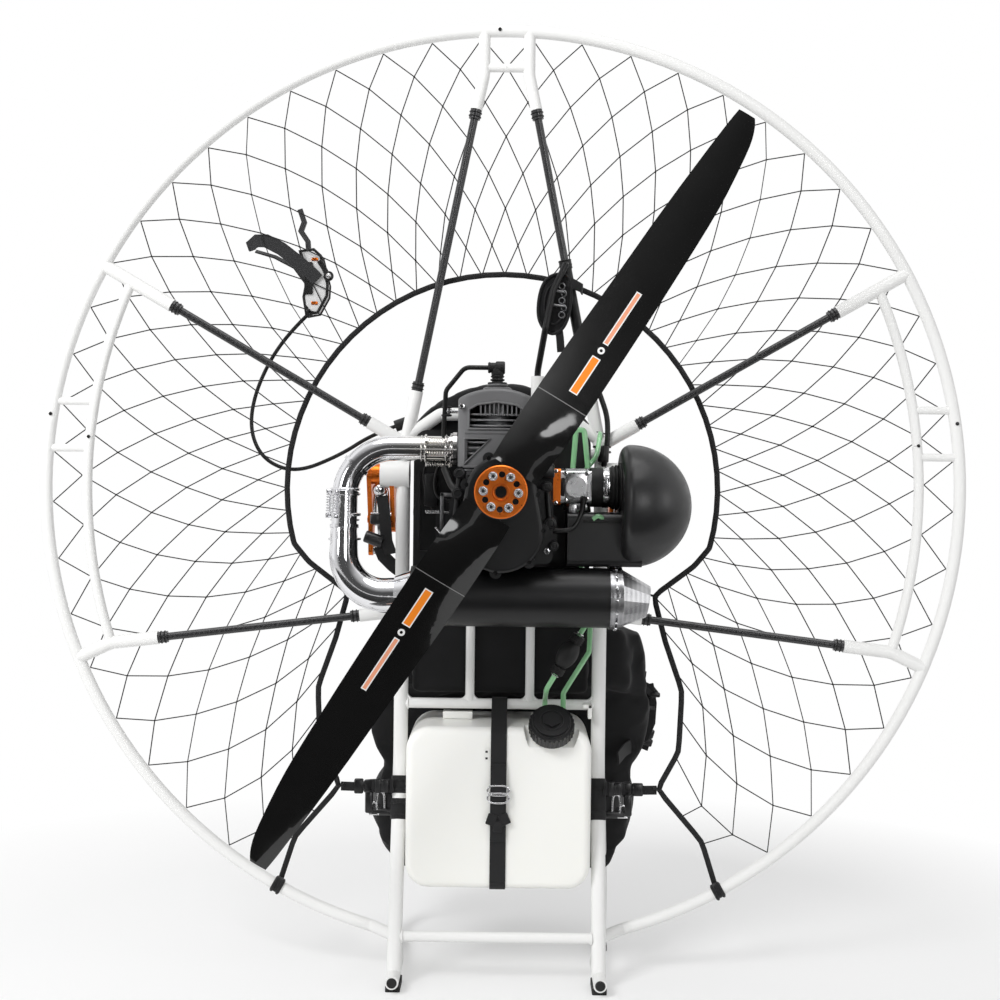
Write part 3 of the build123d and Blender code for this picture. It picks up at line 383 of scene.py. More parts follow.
def paintFinish(name, colour, roughness=0.36, shine=0.5):
    finish = Finish(name, colour, roughness, Specular_IOR_Level=shine)
    wear = finish.noise(5, 3)
    finish.colour(finish.mix(finish.span(wear, 0.35, 0.75, 0, 1), colour, tuple(c * 0.97 for c in colour)))
    finish.rough(finish.span(finish.noise(20, 2), 0.3, 0.7, roughness - 0.04, roughness + 0.06))
    return finish.material


def metalFinish(name, colour, roughness, grain=300, strength=0.1):
    finish = Finish(name, colour, roughness, metallic=1.0)
    finish.colour(finish.mix(finish.span(finish.noise(25, 4), 0.3, 0.7, 0, 1), colour,
                             tuple(c * 0.82 for c in colour)))
    finish.rough(finish.span(finish.noise(grain, 3), 0.3, 0.7, roughness * 0.8, min(1, roughness * 1.3)))
    finish.bump(finish.noise(grain * 2, 3), strength, 0.0005)
    return finish.material


def plasticFinish(name, colour, roughness=0.45, grain=1500, strength=0.12, **fixed):
    finish = Finish(name, colour, roughness, **fixed)
    finish.colour(finish.mix(finish.span(finish.noise(14, 4), 0.35, 0.7, 0, 1), colour,
                             tuple(min(1, c * 1.25 + 0.001) for c in colour)))
    finish.rough(finish.span(finish.noise(40, 3), 0.3, 0.7, roughness - 0.06, roughness + 0.08))
    finish.bump(finish.noise(grain, 2), strength, 0.0004)
    return finish.material


def clothFinish(name, colour, threads=900, roughness=0.85):
    finish = Finish(name, colour, roughness, Sheen_Weight=0.08, Sheen_Roughness=0.5, Specular_IOR_Level=0.25)
    place = finish.place()
    x, y, z = finish.parts(place)
    across = (x * threads * 6.283).math("SINE")
    up = (z * threads * 6.283).math("SINE")
    weave = (across * up) * 0.5 + 0.5
    worn = finish.span(finish.noise(18, 5), 0.35, 0.7, 0, 1)
    pale = tuple(c * 1.9 + 0.003 for c in colour)
    finish.colour(finish.mix(weave * 0.4 + worn * 0.4, colour, pale))
    finish.bump(weave, 0.35, 0.0004)
    return finish.material


def webbingFinish(name, colour):
    finish = Finish(name, colour, 0.7, Sheen_Weight=0.08, Specular_IOR_Level=0.3)
    x, y, z = finish.parts(finish.place())
    ribs = ((x + y + z) * 2600).math("SINE") * 0.5 + 0.5
    finish.colour(finish.mix(ribs * 0.5, colour, tuple(c * 2.2 + 0.004 for c in colour)))
    finish.bump(ribs, 0.4, 0.0004)
    return finish.material


def carbonFinish():
    finish = Finish("carbonTube", (0.035, 0.035, 0.037), 0.38, Coat_Weight=0.35, Coat_Roughness=0.2)
    x, y, z = finish.parts(finish.place())
    wrap = ((z * 900 + x * 420).math("SINE") * (z * 900 - x * 420).math("SINE")) * 0.5 + 0.5
    finish.colour(finish.mix(wrap * 0.6, (0.014, 0.014, 0.015), (0.042, 0.042, 0.044)))
    finish.rough(finish.span(wrap, 0, 1, 0.3, 0.48))
    finish.bump(wrap, 0.15, 0.0003)
    return finish.material


def chromeFinish():
    finish = Finish("chromePipe", (0.82, 0.82, 0.84), 0.08, metallic=1.0)
    x, y, z = finish.parts(finish.place())
    nearPort = finish.span(x, -0.17, -0.08, 0, 1) * finish.span(z, 0.75, 0.79, 0, 1)
    tint = finish.ramp(nearPort + finish.noise(30, 2) * 0.15 - 0.07, (0.0, (0.83, 0.83, 0.85)),
                       (0.5, (0.80, 0.79, 0.77)), (0.8, (0.74, 0.72, 0.68)), (1.0, (0.66, 0.64, 0.63)))
    finish.colour(tint)
    finish.rough(finish.span(finish.noise(35, 4), 0.35, 0.75, 0.05, 0.16))
    finish.bump(finish.noise(16, 3), 0.12, 0.002)
    return finish.material


def turnedFinish():
    # spun steel: dark turned lines round the tip
    finish = Finish("turnedSteel", (0.4, 0.4, 0.41), 0.3, metallic=1.0)
    x, y, z = finish.parts(finish.place())
    lines = (x * 900).math("SINE") * 0.5 + 0.5
    streaks = finish.noise(30, 4,
                           finish.node("ShaderNodeMapping", None,
                                       {"Vector": finish.place(), "Scale": (0.15, 1, 1)}))
    shade = lines * 0.2 + finish.span(streaks, 0.3, 0.7, 0, 0.8)
    finish.colour(finish.mix(shade, (0.2, 0.2, 0.21), (0.6, 0.6, 0.61)))
    finish.rough(finish.span(streaks, 0.3, 0.7, 0.18, 0.36))
    finish.bump(lines, 0.2, 0.0004)
    return finish.material


def tankFinish():
    finish = Finish("tankPlastic", (0.93, 0.93, 0.89), 0.35, Subsurface_Weight=0.2, Subsurface_Scale=0.02,
                    Coat_Weight=0.15)
    finish.shader.inputs["Subsurface Radius"].default_value = (1.0, 0.95, 0.85)
    x, y, z = finish.parts(finish.place())
    # painted light: the tank's colour is made lighter towards its top, with some random tone mixed in
    shade = finish.span(z, 0.14, 0.4, 0, 1) + finish.noise(6, 3) * 0.25
    finish.colour(finish.mix(shade, (0.90, 0.90, 0.86), (0.95, 0.95, 0.91)))
    finish.rough(finish.span(finish.noise(80, 2), 0.3, 0.7, 0.28, 0.42))
    finish.bump(finish.noise(500, 2), 0.08, 0.0005)
    return finish.material


bladeSet = {"angle": 57, "seam": 150 * mm, "seamWide": 0.6 * mm, "line": -7 * mm, "wide": (167, 226),
            "thin": (247, 332), "dot": 237, "wideHalf": 6.5 * mm, "thinHalf": 4.2 * mm, "rim": 1.6 * mm}


def propellerFinish():
    # black lacquer with plain orange and white stripes on each blade and a pale seam near the root
    finish = Finish("lacqueredCarbon", (0.004, 0.004, 0.004), 0.12, Specular_IOR_Level=0.2, Coat_Weight=1.0,
                    Coat_Roughness=0.03)
    x, y, z = finish.parts(finish.place())
    turn = math.radians(bladeSet["angle"])
    up = z - hubHeight
    along = x * math.cos(turn) + up * math.sin(turn)
    across = up * math.cos(turn) - x * math.sin(turn)
    radius = along.math("ABSOLUTE")
    offset = across * along.math("SIGN") - bladeSet["line"]
    gap = offset.math("ABSOLUTE")

    def between(value, low, high):
        return (value > low) * (value < high)

    def stripe(ends, half):
        low, high = (end * mm for end in ends)
        outer = between(radius, low, high) * (gap < half)
        inner = between(radius, low + bladeSet["rim"], high - bladeSet["rim"]) * (gap < half - bladeSet["rim"])
        return outer, inner

    black = finish.mix(finish.noise(12, 2), (0.003, 0.003, 0.003), (0.006, 0.006, 0.006))
    wideOuter, wideInner = stripe(bladeSet["wide"], bladeSet["wideHalf"])
    thinOuter, thinInner = stripe(bladeSet["thin"], bladeSet["thinHalf"])
    fromDot = ((radius - bladeSet["dot"] * mm) ** 2 + offset ** 2).math("SQRT")
    dot = between(fromDot, 2.2 * mm, 5 * mm)
    seam = between(radius, bladeSet["seam"] - bladeSet["seamWide"], bladeSet["seam"] + bladeSet["seamWide"])
    white = wideOuter.math("MAXIMUM", thinOuter).math("MAXIMUM", dot)
    colour = finish.mix(white, black, (0.80, 0.80, 0.79))
    colour = finish.mix(wideInner, colour, (0.85, 0.24, 0.02))
    colour = finish.mix(thinInner, colour, (0.78, 0.33, 0.20))
    finish.colour(finish.mix(seam * 0.5, colour, (0.35, 0.35, 0.35)))
    finish.rough(finish.span(finish.noise(50, 3), 0.3, 0.7, 0.08, 0.16))
    return finish.material


finishes = {
    "white_paint": paintFinish("whitePaint", (0.86, 0.86, 0.85), 0.36, 0.3),
    "black_rubber": plasticFinish("blackRubber", (0.009, 0.009, 0.009), 0.55, Specular_IOR_Level=0.35),
    "carbon": carbonFinish(),
    "orange_anodised": metalFinish("orangeAnodised", (0.85, 0.20, 0.03), 0.32, 300, 0.04),
    "bright_aluminium": metalFinish("brightAluminium", (0.72, 0.72, 0.73), 0.3),
    "webbing": webbingFinish("blackWebbing", (0.009, 0.009, 0.0095)),
    "black_paint": paintFinish("blackPaint", (0.006, 0.006, 0.0065), 0.36, 0.4),
    "grey_casting": metalFinish("greyCasting", (0.36, 0.36, 0.37), 0.45),
    "shroud_grey": plasticFinish("shroudGrey", (0.11, 0.11, 0.113), 0.42),
    "cable_black": plasticFinish("cableSheath", (0.007, 0.007, 0.007), 0.4, Specular_IOR_Level=0.4),
    "chrome": chromeFinish(),
    "black_plastic": plasticFinish("blackPlastic", (0.007, 0.007, 0.0075), 0.34, 1500, 0.05,
                                   Specular_IOR_Level=0.5),
    "tank_plastic": tankFinish(),
    "green_hose": plasticFinish("greenHose", (0.34, 0.70, 0.37), 0.12, 400, 0.03, Transmission_Weight=0.4,
                                Coat_Weight=0.6),
    "black_cloth": clothFinish("blackCloth", (0.008, 0.008, 0.0085)),
    "grip_grey": plasticFinish("gripGrey", (0.55, 0.55, 0.55), 0.4),
    "black_gloss": propellerFinish(),
    "steel": metalFinish("brightSteel", (0.75, 0.75, 0.76), 0.2),
    "strap_grey": webbingFinish("greyWebbing", (0.02, 0.02, 0.021)),
    "cord_black": plasticFinish("netCord", (0.01, 0.01, 0.01), 0.7),
}
slotOf = {row["node"]: row["material_slot"] for row in frame["record"]["subparts"]}
for name, obj in nodes.items():
    give(obj, finishes[slotOf[name]])
give(nodes["silencer_tip"], turnedFinish())
give(nodes["throttle_lever"], plasticFinish("leverGrey", (0.035, 0.035, 0.036), 0.4))
piece(throttleCable, "cable_black", ["throttle_cable"])
print("materials made")


# safety net: two families of cords laced between the hoop and the net's edge

netSet = {"cord": 1.8 * mm, "hoop": 695 * mm, "ring": 335 * mm, "ringDepth": 7, "front": 9.8 * mm, "last": 21.5,
          "topStep": 6.35, "lowStep": 7.29, "lowFrom": 14.5, "ringStep": 35.1 * mm, "knot": 1.7 * mm,
          "tie": 12 * mm,
          "rows": (0, 0.123, 0.267, 0.414, 0.567, 0.717, 0.873, 1), "beyond": (1, 1.5, 1, 1.5, 1, 0.5, 0.5, 0),
          "strays": {(1, 0): (312, 193), (1.5, 1): (276, 232), (1.5, 3): (280, 332)}, "tape": 9 * mm,
          "ringEnd": 105,
          "leg": [(300, 630), (238, 583), (257, 512), (284, 435), (280, 340), (248, 281), (318, 200),
                  (340, 131)]}


def netEdgePath():
    # the right half of the net's edge, seen from behind: x, and height above the propeller's axis
    ring = [Vector((math.sin(math.radians(a)), math.cos(math.radians(a)))) * netSet["ring"]
            for a in range(0, netSet["ringEnd"] + 1, 5)]
    return ring + [Vector((x * mm, z * mm - hubHeight)) for x, z in netSet["leg"]]


def alongPath(path, distance):
    for a, b in zip(path, path[1:]):
        if distance <= (b - a).length:
            return a.lerp(b, distance / (b - a).length)
        distance -= (b - a).length
    return path[-1]


def netPoint(step, row):
    # step counts the lacing places from the top, and row runs from the hoop inwards
    past = abs(step) - netSet["last"]
    share = netSet["rows"][row]
    low = max(0, abs(step) - netSet["lowFrom"])
    angle = math.radians((abs(step) - low) * netSet["topStep"] + low * netSet["lowStep"])
    outer = Vector((math.sin(angle), math.cos(angle))) * netSet["hoop"]
    inner = alongPath(netEdgePath()[:-len(netSet["leg"]) + 2], abs(step) * netSet["ringStep"])
    flat = outer.lerp(inner, share)
    if (past, row) in netSet["strays"]:
        x, z = netSet["strays"][(past, row)]
        flat = Vector((x * mm, z * mm - hubHeight))
    start, end = hoopY + netSet["front"], chassisY + netSet["ringDepth"] * mm
    return Vector((math.copysign(flat.x, step), start + (end - start) * share, hubHeight + flat.y))


def legGap(point):
    # how far a point lies on the net's side of the edge's leg
    for (xa, za), (xb, zb) in zip(netSet["leg"][1:], netSet["leg"][2:]):
        if zb * mm <= point.z <= (za + 1) * mm:
            return abs(point.x) - (xa + (xb - xa) * (za - point.z / mm) / (za - zb)) * mm
    return 1


def tiePoint(inside, outside):
    # the place on the leg where a cord that comes from the net ends
    if legGap(outside) < 0:
        for halving in range(20):
            middle = inside.lerp(outside, 0.5)
            inside, outside = (middle, outside) if legGap(middle) > 0 else (inside, middle)
    place = outside - Vector((math.copysign(legGap(outside), outside.x), 0, 0))
    return Vector((place.x, chassisY + netSet["ringDepth"] * mm, place.z))


def safetyNet():
    curve = bpy.data.curves.new("safetyNet", "CURVE")
    curve.dimensions = "3D"
    curve.bevel_depth = netSet["cord"] / 2
    curve.bevel_resolution = 0
    rows = range(len(netSet["rows"]))
    widest = int(netSet["last"]) + 4
    knots = set()
    for family in (-0.5, 0.5):
        for index in range(-widest, widest):
            places = [(index + 0.5 + family * row, row) for row in rows
                      if abs(index + 0.5 + family * row) <= netSet["last"] + netSet["beyond"][row]]
            points = [netPoint(*place) for place in places]
            inside = [legGap(point) > netSet["tie"] for point in points]
            knots.update(place for place, held in zip(places, inside) if held and 0 < place[1] < rows[-1])
            strand = []
            for number, point in enumerate(points):
                beside = [n for n in (number - 1, number + 1) if 0 <= n < len(points) and inside[n]]
                if inside[number]:
                    strand.append(point)
                elif beside:
                    strand.append(tiePoint(points[beside[0]], point))
            if len(strand) > 1:
                addStrand(curve, strand)
    net = bpy.data.objects.new("safetyNet", curve)
    bpy.context.scene.collection.objects.link(net)
    net = toMesh(net)
    deselect()
    bpy.ops.mesh.primitive_ico_sphere_add(subdivisions=1, radius=netSet["knot"])
    knot = bpy.context.object
    knobs = []
    for place in sorted(knots):
        copy = knot.copy()
        copy.data = knot.data.copy()
        copy.location = netPoint(*place)
        bpy.context.scene.collection.objects.link(copy)
        knobs.append(copy)
    bpy.data.objects.remove(knot)
    net = settle(joined([net] + knobs, "safetyNet"))
    piece(net, "webbing", finish="cord_black")


def netEdge():
    # flat tape round the inner ring and down both legs to the hoop
    half = netEdgePath()
    whole = [Vector((-p.x, p.y)) for p in reversed(half[1:])] + half
    path = [Vector((p.x, chassisY + netSet["ringDepth"] * mm, hubHeight + p.y)) for p in whole]
    rounded = []
    for before, here, after in zip(path, path[1:], path[2:]):
        turned = (here - before).angle(after - here)
        rounded += [here] if turned < 0.2 else [here.lerp(before, 0.18), here.lerp(before, 0.05).lerp(
            here.lerp(after, 0.05), 0.5), here.lerp(after, 0.18)]
    tape = toMesh(line("netTape", [path[0]] + rounded + [path[-1]], netSet["tape"], "POLY", sides=3))
    only(tape)
    bpy.ops.object.mode_set(mode="EDIT")
    bpy.ops.mesh.select_all(action="SELECT")
    bpy.ops.transform.resize(value=(1, 0.55, 1), center_override=(0, chassisY + netSet["ringDepth"] * mm, 0))
    bpy.ops.object.mode_set(mode="OBJECT")
    clips = []
    for side in (-1, 1):
        x, z = netSet["leg"][-1]
        place = Vector((side * x * mm, hoopY, z * mm))
        along = Vector((x * mm, 0, z * mm - hubHeight)).normalized()
        tangent = Vector((-along.z * side, 0, along.x))
        for offset in (-5, 5):
            clips.append(hoopRing(place + tangent * offset * mm, tangent, 10.6 * mm, 5 * mm))
        clips.append(barrel(place - tangent * 8 * mm, place + tangent * 8 * mm, 11 * mm, soft=0.001))
        clips.append(barrel(place + Vector((0, 2 * mm, 0)), (place.x, path[0].y, place.z), 6 * mm, 12, 0.001))
    edge = joined([tape] + clips, "netEdge")
    piece(smooth(edge, 60), "webbing", ["net_edge"])


safetyNet()
netEdge()
print("net laced")


# frame fittings

fittingSet = {"hoop": 702 * mm, "joints": (90, 9, 171), "jointPins": (90.9, 9, 171),
              "sleeve": (8.9 * mm, 0.6 * mm), "arc": 773 * mm, "arcMiddle": (639 - 773) * mm, "arcPin": 5.6,
              "hoopPinSize": (2.8 * mm, 10.5 * mm),
              "arcPinSize": (2.6 * mm, 9 * mm), "pinEdge": 0.6 * mm, "endSlice": 1.2 * mm,
              "collars": ((10 * mm, 8.8 * mm, 2.2 * mm), (4 * mm, 9.2 * mm, 1.6 * mm)), "bead": 2.6 * mm,
              "welds": [((142.5, 0, 802), 8.6), ((142.5, 0, 413), 8.8), ((142.5, -72, 72), 8.8)]}


def onArc(degrees, radius, middle=0.0, side=1):
    turn = math.radians(degrees)
    return Vector((side * (middle + math.cos(turn) * radius), hoopY, hubHeight + math.sin(turn) * radius))


def springButtons():
    # the small spring pins that hold the hoop's quarters together
    spots = [(onArc(angle, fittingSet["hoop"]), fittingSet["hoopPinSize"]) for angle in fittingSet["jointPins"]]
    spots += [(onArc(fittingSet["arcPin"], fittingSet["arc"], fittingSet["arcMiddle"], side),
               fittingSet["arcPinSize"])
              for side in (-1, 1)]
    pins = [barrel(place - Vector((0, half, 0)), place + Vector((0, half, 0)), radius, 16,
                   fittingSet["pinEdge"])
            for place, (radius, half) in spots]
    piece(joined(pins, "springPins"), "black_plastic")


def hoopSeams():
    # thin sleeves over the joints of the hoop
    seams = []
    for angle in fittingSet["joints"]:
        turn = math.radians(angle)
        seams.append(hoopRing(onArc(angle, fittingSet["hoop"]), (-math.sin(turn), 0, math.cos(turn)),
                              *fittingSet["sleeve"]))
    piece(joined(seams, "hoopSeams"), "white_paint")


def spanEnds(name):
    # the middles of a spar's two end faces
    low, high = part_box(name)
    axis = max(range(3), key=lambda index: high[index] - low[index])
    places = [nodes[name].matrix_world @ vertex.co for vertex in nodes[name].data.vertices]
    ends = [min(places, key=lambda place: place[axis]), max(places, key=lambda place: place[axis])]
    for _ in range(4):
        along = (ends[1] - ends[0]).normalized()
        reach = sorted(place.dot(along) for place in places)
        groups = ([place for place in places if place.dot(along) < reach[0] + fittingSet["endSlice"]],
                  [place for place in places if place.dot(along) > reach[-1] - fittingSet["endSlice"]])
        ends = [Vector([(min(place[index] for place in group) + max(place[index] for place in group)) / 2
                        for index in range(3)]) for group in groups]
    return ends


def sparCollars():
    rings = []
    for kind in ("upper", "side", "lower"):
        for side in ("left", "right"):
            ends = spanEnds(kind + "_spar_" + side)
            middle = (ends[0] + ends[1]) / 2
            for end in ends:
                inward = (middle - end).normalized()
                for step, radius, thick in fittingSet["collars"]:
                    rings.append(hoopRing(end + inward * step, inward, radius, thick))
    piece(joined(rings, "sparCollars"), "black_rubber")


def weldBeads():
    # low weld rings where tubes meet the uprights
    beads = [hoopRing(at(side * x, y, z), (1, 0, 0), radius * mm, fittingSet["bead"])
             for (x, y, z), radius in fittingSet["welds"] for side in (-1, 1)]
    piece(joined(beads, "weldBeads"), "white_paint")


springButtons()
hoopSeams()
sparCollars()
weldBeads()
print("frame fittings made")


# engine

engineSet = {"axisX": -8, "axisY": -108, "rear": -158, "port": 806, "intake": 752}
hubSet = {"screws": 6, "first": 57, "circle": 24 * mm, "rear": 8 * mm, "socket": 2.48 * mm, "rim": 4.8 * mm,
          "rimWire": 1.8 * mm, "bore": 11.2 * mm, "boreWire": 2.2 * mm, "teeth": 18, "toothCircle": 8.6 * mm,
          "tooth": 0.9 * mm, "toothLong": 6 * mm}


def hubScrews():
    # rims of the hub's screws, black hexes painted as the shade in their sockets, and the toothed ring in its
    # bore
    heads, socketShades = [], []
    centre = Vector((0, hubLow.y, hubHeight))
    for index in range(hubSet["screws"]):
        turn = math.radians(hubSet["first"] + index * 360 / hubSet["screws"])
        place = centre + Vector((math.cos(turn) * hubSet["circle"], -hubSet["rear"],
                                 math.sin(turn) * hubSet["circle"]))
        # painted shade: a black hex fills each screw's socket recess
        socketShades.append(barrel(place + Vector((0, 0.002, 0)), place - Vector((0, 0.0004, 0)), hubSet["socket"],
                              6))
        heads.append(hoopRing(place + Vector((0, 0.0005, 0)), (0, 1, 0), hubSet["rim"], hubSet["rimWire"],
                              sides=24))
    bore = [hoopRing(centre + Vector((0, 0.002, 0)), (0, 1, 0), hubSet["bore"], hubSet["boreWire"])]
    for index in range(hubSet["teeth"]):
        turn = math.tau * index / hubSet["teeth"]
        root = centre + Vector((math.cos(turn) * hubSet["toothCircle"], 0.004,
                                math.sin(turn) * hubSet["toothCircle"]))
        bore.append(barrel(root, root + Vector((0, hubSet["toothLong"], 0)), hubSet["tooth"], 8))
    piece(joined(bore, "hubBoreRing"), "orange_anodised", body="propeller")
    piece(joined(heads, "hubScrewRims"), "steel", body="propeller")
    piece(joined(socketShades, "hubScrewSocketShades"), "black_plastic", body="propeller")


def caseScrews():
    # cap screws on the crankcase and the carburettor, with black hexes painted as the shade in their sockets
    heads, socketShades = [], []
    spots = [(2, -160, 650, 4.4), (40, -160, 650, 4.4), (66, -160, 660, 4.8), (93, -132, 772, 3.4),
             (124, -132, 772, 3.4),
             (93, -132, 733, 3.2), (124, -132, 735, 3.2), (-58, -158, 866, 4.2), (79, -135, 775, 3),
             (79, -135, 729, 3)]
    for x, y, z, radius in spots:
        place = at(x, y, z)
        rear = Vector((0, -radius * mm * 0.9, 0))
        heads.append(barrel(place + Vector((0, 0.002, 0)), place + rear, radius * mm, 20, 0.0005))
        # painted shade: a black hex fills each steel head's socket recess
        socketShades.append(barrel(place, place + rear * 1.02, radius * mm * 0.52, 6))
    piece(joined(heads, "caseScrews"), "steel")
    piece(joined(socketShades, "caseScrewSocketShades"), "black_plastic")


def shroudSlats():
    slats = []
    for index in range(10):
        x = engineSet["axisX"] - 24 + index * 6.4
        slats.append(block(at(x, engineSet["rear"] + 0.5, 853), at(x + 2.2, engineSet["rear"] + 8, 873),
                           0.0005))
    for z, left, right in ((829, -54, 38), (780, -56, -10)):
        slats.append(block(at(left, engineSet["rear"] - 1.2, z - 2), at(right, engineSet["rear"] + 1, z + 2),
                           0.0008))
    piece(joined(slats, "shroudSlats"), "shroud_grey")


def shroudRims():
    # raised lips round the two windows
    y = engineSet["rear"] - 0.6
    arch = [(-48, 834), (-48, 862), (-36, 869), (-8, 873), (20, 869), (32, 862), (32, 834), (-48, 834)]
    corner = [(-54, 783), (-54, 820), (-17, 820), (-54, 783)]
    rims = [toMesh(line("rim", [at(x, y, z) for x, z in outline], 0.0036, "POLY", sides=2))
            for outline in (arch, corner)]
    foot = barrel(at(engineSet["axisX"], engineSet["axisY"], 890),
                  at(engineSet["axisX"], engineSet["axisY"], 897), 0.021, soft=0.003)
    collar = hoopRing(at(engineSet["axisX"], engineSet["axisY"], 900), (0, 0, 1), 0.0135, 0.004)
    piece(smooth(joined(rims + [foot, collar], "shroudRims"), 60), "shroud_grey")


def plugBoot():
    x, y = engineSet["axisX"], engineSet["axisY"]
    parts = [hoopRing(at(x, y, z), (0, 0, 1), radius * mm, 0.003)
             for z, radius in ((903, 13), (908, 9.2), (913, 8.6))]
    parts.append(barrel(at(x + 11, y, 926), at(x - 3, y, 926), 0.0095, soft=0.002))
    parts.append(hoopRing(at(x - 12, y, 926), (1, 0, 0), 0.0066, 0.0034))
    parts.append(barrel(at(x, y, 914), at(x, y, 926), 0.0092, soft=0.002))
    piece(smooth(joined(parts, "plugBoot"), 60), "black_rubber")


def leadClamp():
    y = engineSet["axisY"] + 16
    silver = [barrel(at(-83, y, 866), at(-83, y, 858), 0.0058, 20, 0.0008),
              barrel(at(-83, y, 862), at(-62, y - 4, 862), 0.003, 12)]
    dark = [hoopRing(at(-83, y, z), (0, 0, 1), 0.0062, 0.0034) for z in (868, 856)]
    piece(joined(silver, "leadClamp"), "steel")
    piece(joined(dark, "leadTies"), "black_rubber")


def caseCasting():
    # bosses, webs and small brackets on the rear of the engine
    rear = -160
    parts = []
    for x, z, radius in ((48, 734, 9), (45, 684, 8), (22, 698, 7), (65, 752, 8), (-62, 741, 9), (-60, 770, 8),
                         (70, 700, 9), (-66, 700, 8), (-40, 655, 7), (76, 668, 7)):
        parts.append(barrel(at(x, rear + 8, z), at(x, rear - 12, z), radius * mm, 24, 0.0012))
        parts.append(hoopRing(at(x, rear - 12, z), (0, 1, 0), radius * mm * 0.62, 0.002, sides=24))
    for start, end in (((48, 734), (45, 684)), ((45, 684), (22, 698)), ((65, 752), (70, 700)),
                       ((70, 700), (45, 684)),
                       ((-62, 741), (-60, 770)), ((-66, 700), (-62, 741)), ((48, 734), (65, 752))):
        parts.append(barrel(at(start[0], rear - 5, start[1]), at(end[0], rear - 5, end[1]), 0.0042, 12))
    parts.append(block(at(52, rear - 4, 764), at(76, rear + 30, 786), 0.004))
    parts.append(block(at(-118, -62, 720), at(-96, -48, 770), 0.004))
    piece(smooth(joined(parts, "caseCasting"), 45), "black_paint")


def coilBracket():
    # the bare bracket left of the hub, with its pull spring
    bracket = [block(at(-92, -78, 683), at(-86, -74, 741), 0.0008),
               block(at(-92, -78, 735), at(-62, -74, 741), 0.0008),
               block(at(-92, -78, 683), at(-88, -48, 689), 0.0008)]
    piece(joined(bracket, "coilBracket"), "grey_casting")
    wires = [spring(at(-114, -72, 712), at(-92, -74, 712), 0.0026, 0.0011, 9),
             barrel(at(-92, -76, 712), at(-64, -76, 712), 0.0016, 10),
             barrel(at(-98, -80, 690), at(-86, -80, 676), 0.0022, 10)]
    piece(joined(wires, "coilLink"), "steel")


def engineHoses():
    hoses = [hose([at(62, -150, 692), at(84, -152, 689), at(104, -150, 694), at(116, -146, 716),
                   at(120, -140, 738)], 0.0072,
                  "waterHose"),
             hose([at(-84, -118, 778), at(-72, -136, 752), at(-60, -150, 744)], 0.011, "flangeStay"),
             hose([at(-88, -90, 800), at(-100, -80, 760), at(-96, -70, 736), at(-78, -72, 728)], 0.005,
                  "coilWire"),
             hose([at(-108, -60, 800), at(-118, -56, 770), at(-114, -54, 735), at(-104, -52, 716)], 0.004,
                  "wire")]
    piece(joined(hoses, "engineHoses"), "cable_black")
    green = [hose([at(124, -96, 778), at(140, -88, 800), at(147, -60, 832), at(150, -20, 826)], 0.0075, "vent"),
             hose([at(132, -150, 706), at(140, -150, 711), at(148, -146, 706)], 0.007, "drip")]
    piece(joined(green, "ventHoses"), "green_hose")


def rightCable():
    # the boot and cable that run up beside the right socket
    cable = [hose([at(156, -12, 780), at(161, -14, 820), at(160, -12, 860), at(148, -10, 898)], 0.0085,
                  "rightCable"),
             barrel(at(155, -16, 790), at(156, -14, 815), 0.0085, 20, 0.002)]
    cable += [hoopRing(at(154, 0, z), (0, 0, 1), 0.0125, 0.004) for z in (806, 814)]
    piece(smooth(joined(cable, "rightCable"), 60), "cable_black")
    piece(hoopRing(at(150, 0, 836), (0.2, 0, 1), 0.0113, 0.0018, "socketTie"), "cable_black")


hubScrews()
caseScrews()
shroudSlats()
shroudRims()
plugBoot()
leadClamp()
caseCasting()
coilBracket()
engineHoses()
rightCable()
print("engine dressed")


# exhaust and intake

exhaustSet = {"portAngles": (60, 110, 180, 235, 290), "jointAngles": (70, 120, 160, 205, 250),
              "joint": (-230, -112),
              "portSpring": (2.8 * mm, 1.3 * mm, 9), "jointSpring": (3 * mm, 1.4 * mm, 9),
              "portRings": ((-74, 20, 6), (-82, 19, 4), (-112, 19.4, 4), (-118, 18.6, 2.4)),
              "jointRings": ((745, 19.5, 5), (738, 21, 3), (708, 21, 5), (700, 20, 3), (672, 22, 4)),
              "tip": (167, -130, 591), "rivets": 16, "rivetFrom": 42 * mm, "rivetTo": 47.5 * mm,
              "rivet": 2.2 * mm}


def headerSprings():
    y, z = engineSet["axisY"], engineSet["port"]
    rings = [hoopRing(at(x, y, z), (1, 0, 0), radius * mm, thick * mm)
             for x, radius, thick in exhaustSet["portRings"]]
    for degrees in exhaustSet["portAngles"]:
        turn = math.radians(degrees)
        side = Vector((0, -math.sin(turn), math.cos(turn)))
        start, end = at(-110, y, z) + side * 0.023, at(-76, y, z) + side * 0.024
        rings.append(spring(start, end, *exhaustSet["portSpring"]))
        rings.append(barrel(start - side * 0.004, start + side * 0.003, 0.0026, 10))
        rings.append(barrel(end - side * 0.004, end + side * 0.003, 0.003, 10))
    piece(smooth(joined(rings, "headerSprings"), 60), "chrome")


def jointSprings():
    # the slip joint on the pipe's upright run
    x, y = exhaustSet["joint"]
    rings = [hoopRing(at(x, y, z), (0, 0, 1), radius * mm, thick * mm)
             for z, radius, thick in exhaustSet["jointRings"]]
    for degrees in exhaustSet["jointAngles"]:
        turn = math.radians(degrees)
        side = Vector((math.cos(turn), -math.sin(turn), 0))
        start, end = at(x, y, 742) + side * 0.0245, at(x, y, 706) + side * 0.0255
        rings.append(spring(start, end, *exhaustSet["jointSpring"]))
        rings.append(barrel(end - side * 0.005, end + side * 0.003, 0.003, 10))
        rings.append(barrel(start - side * 0.005, start + side * 0.003, 0.003, 10))
    piece(smooth(joined(rings, "jointSprings"), 60), "chrome")


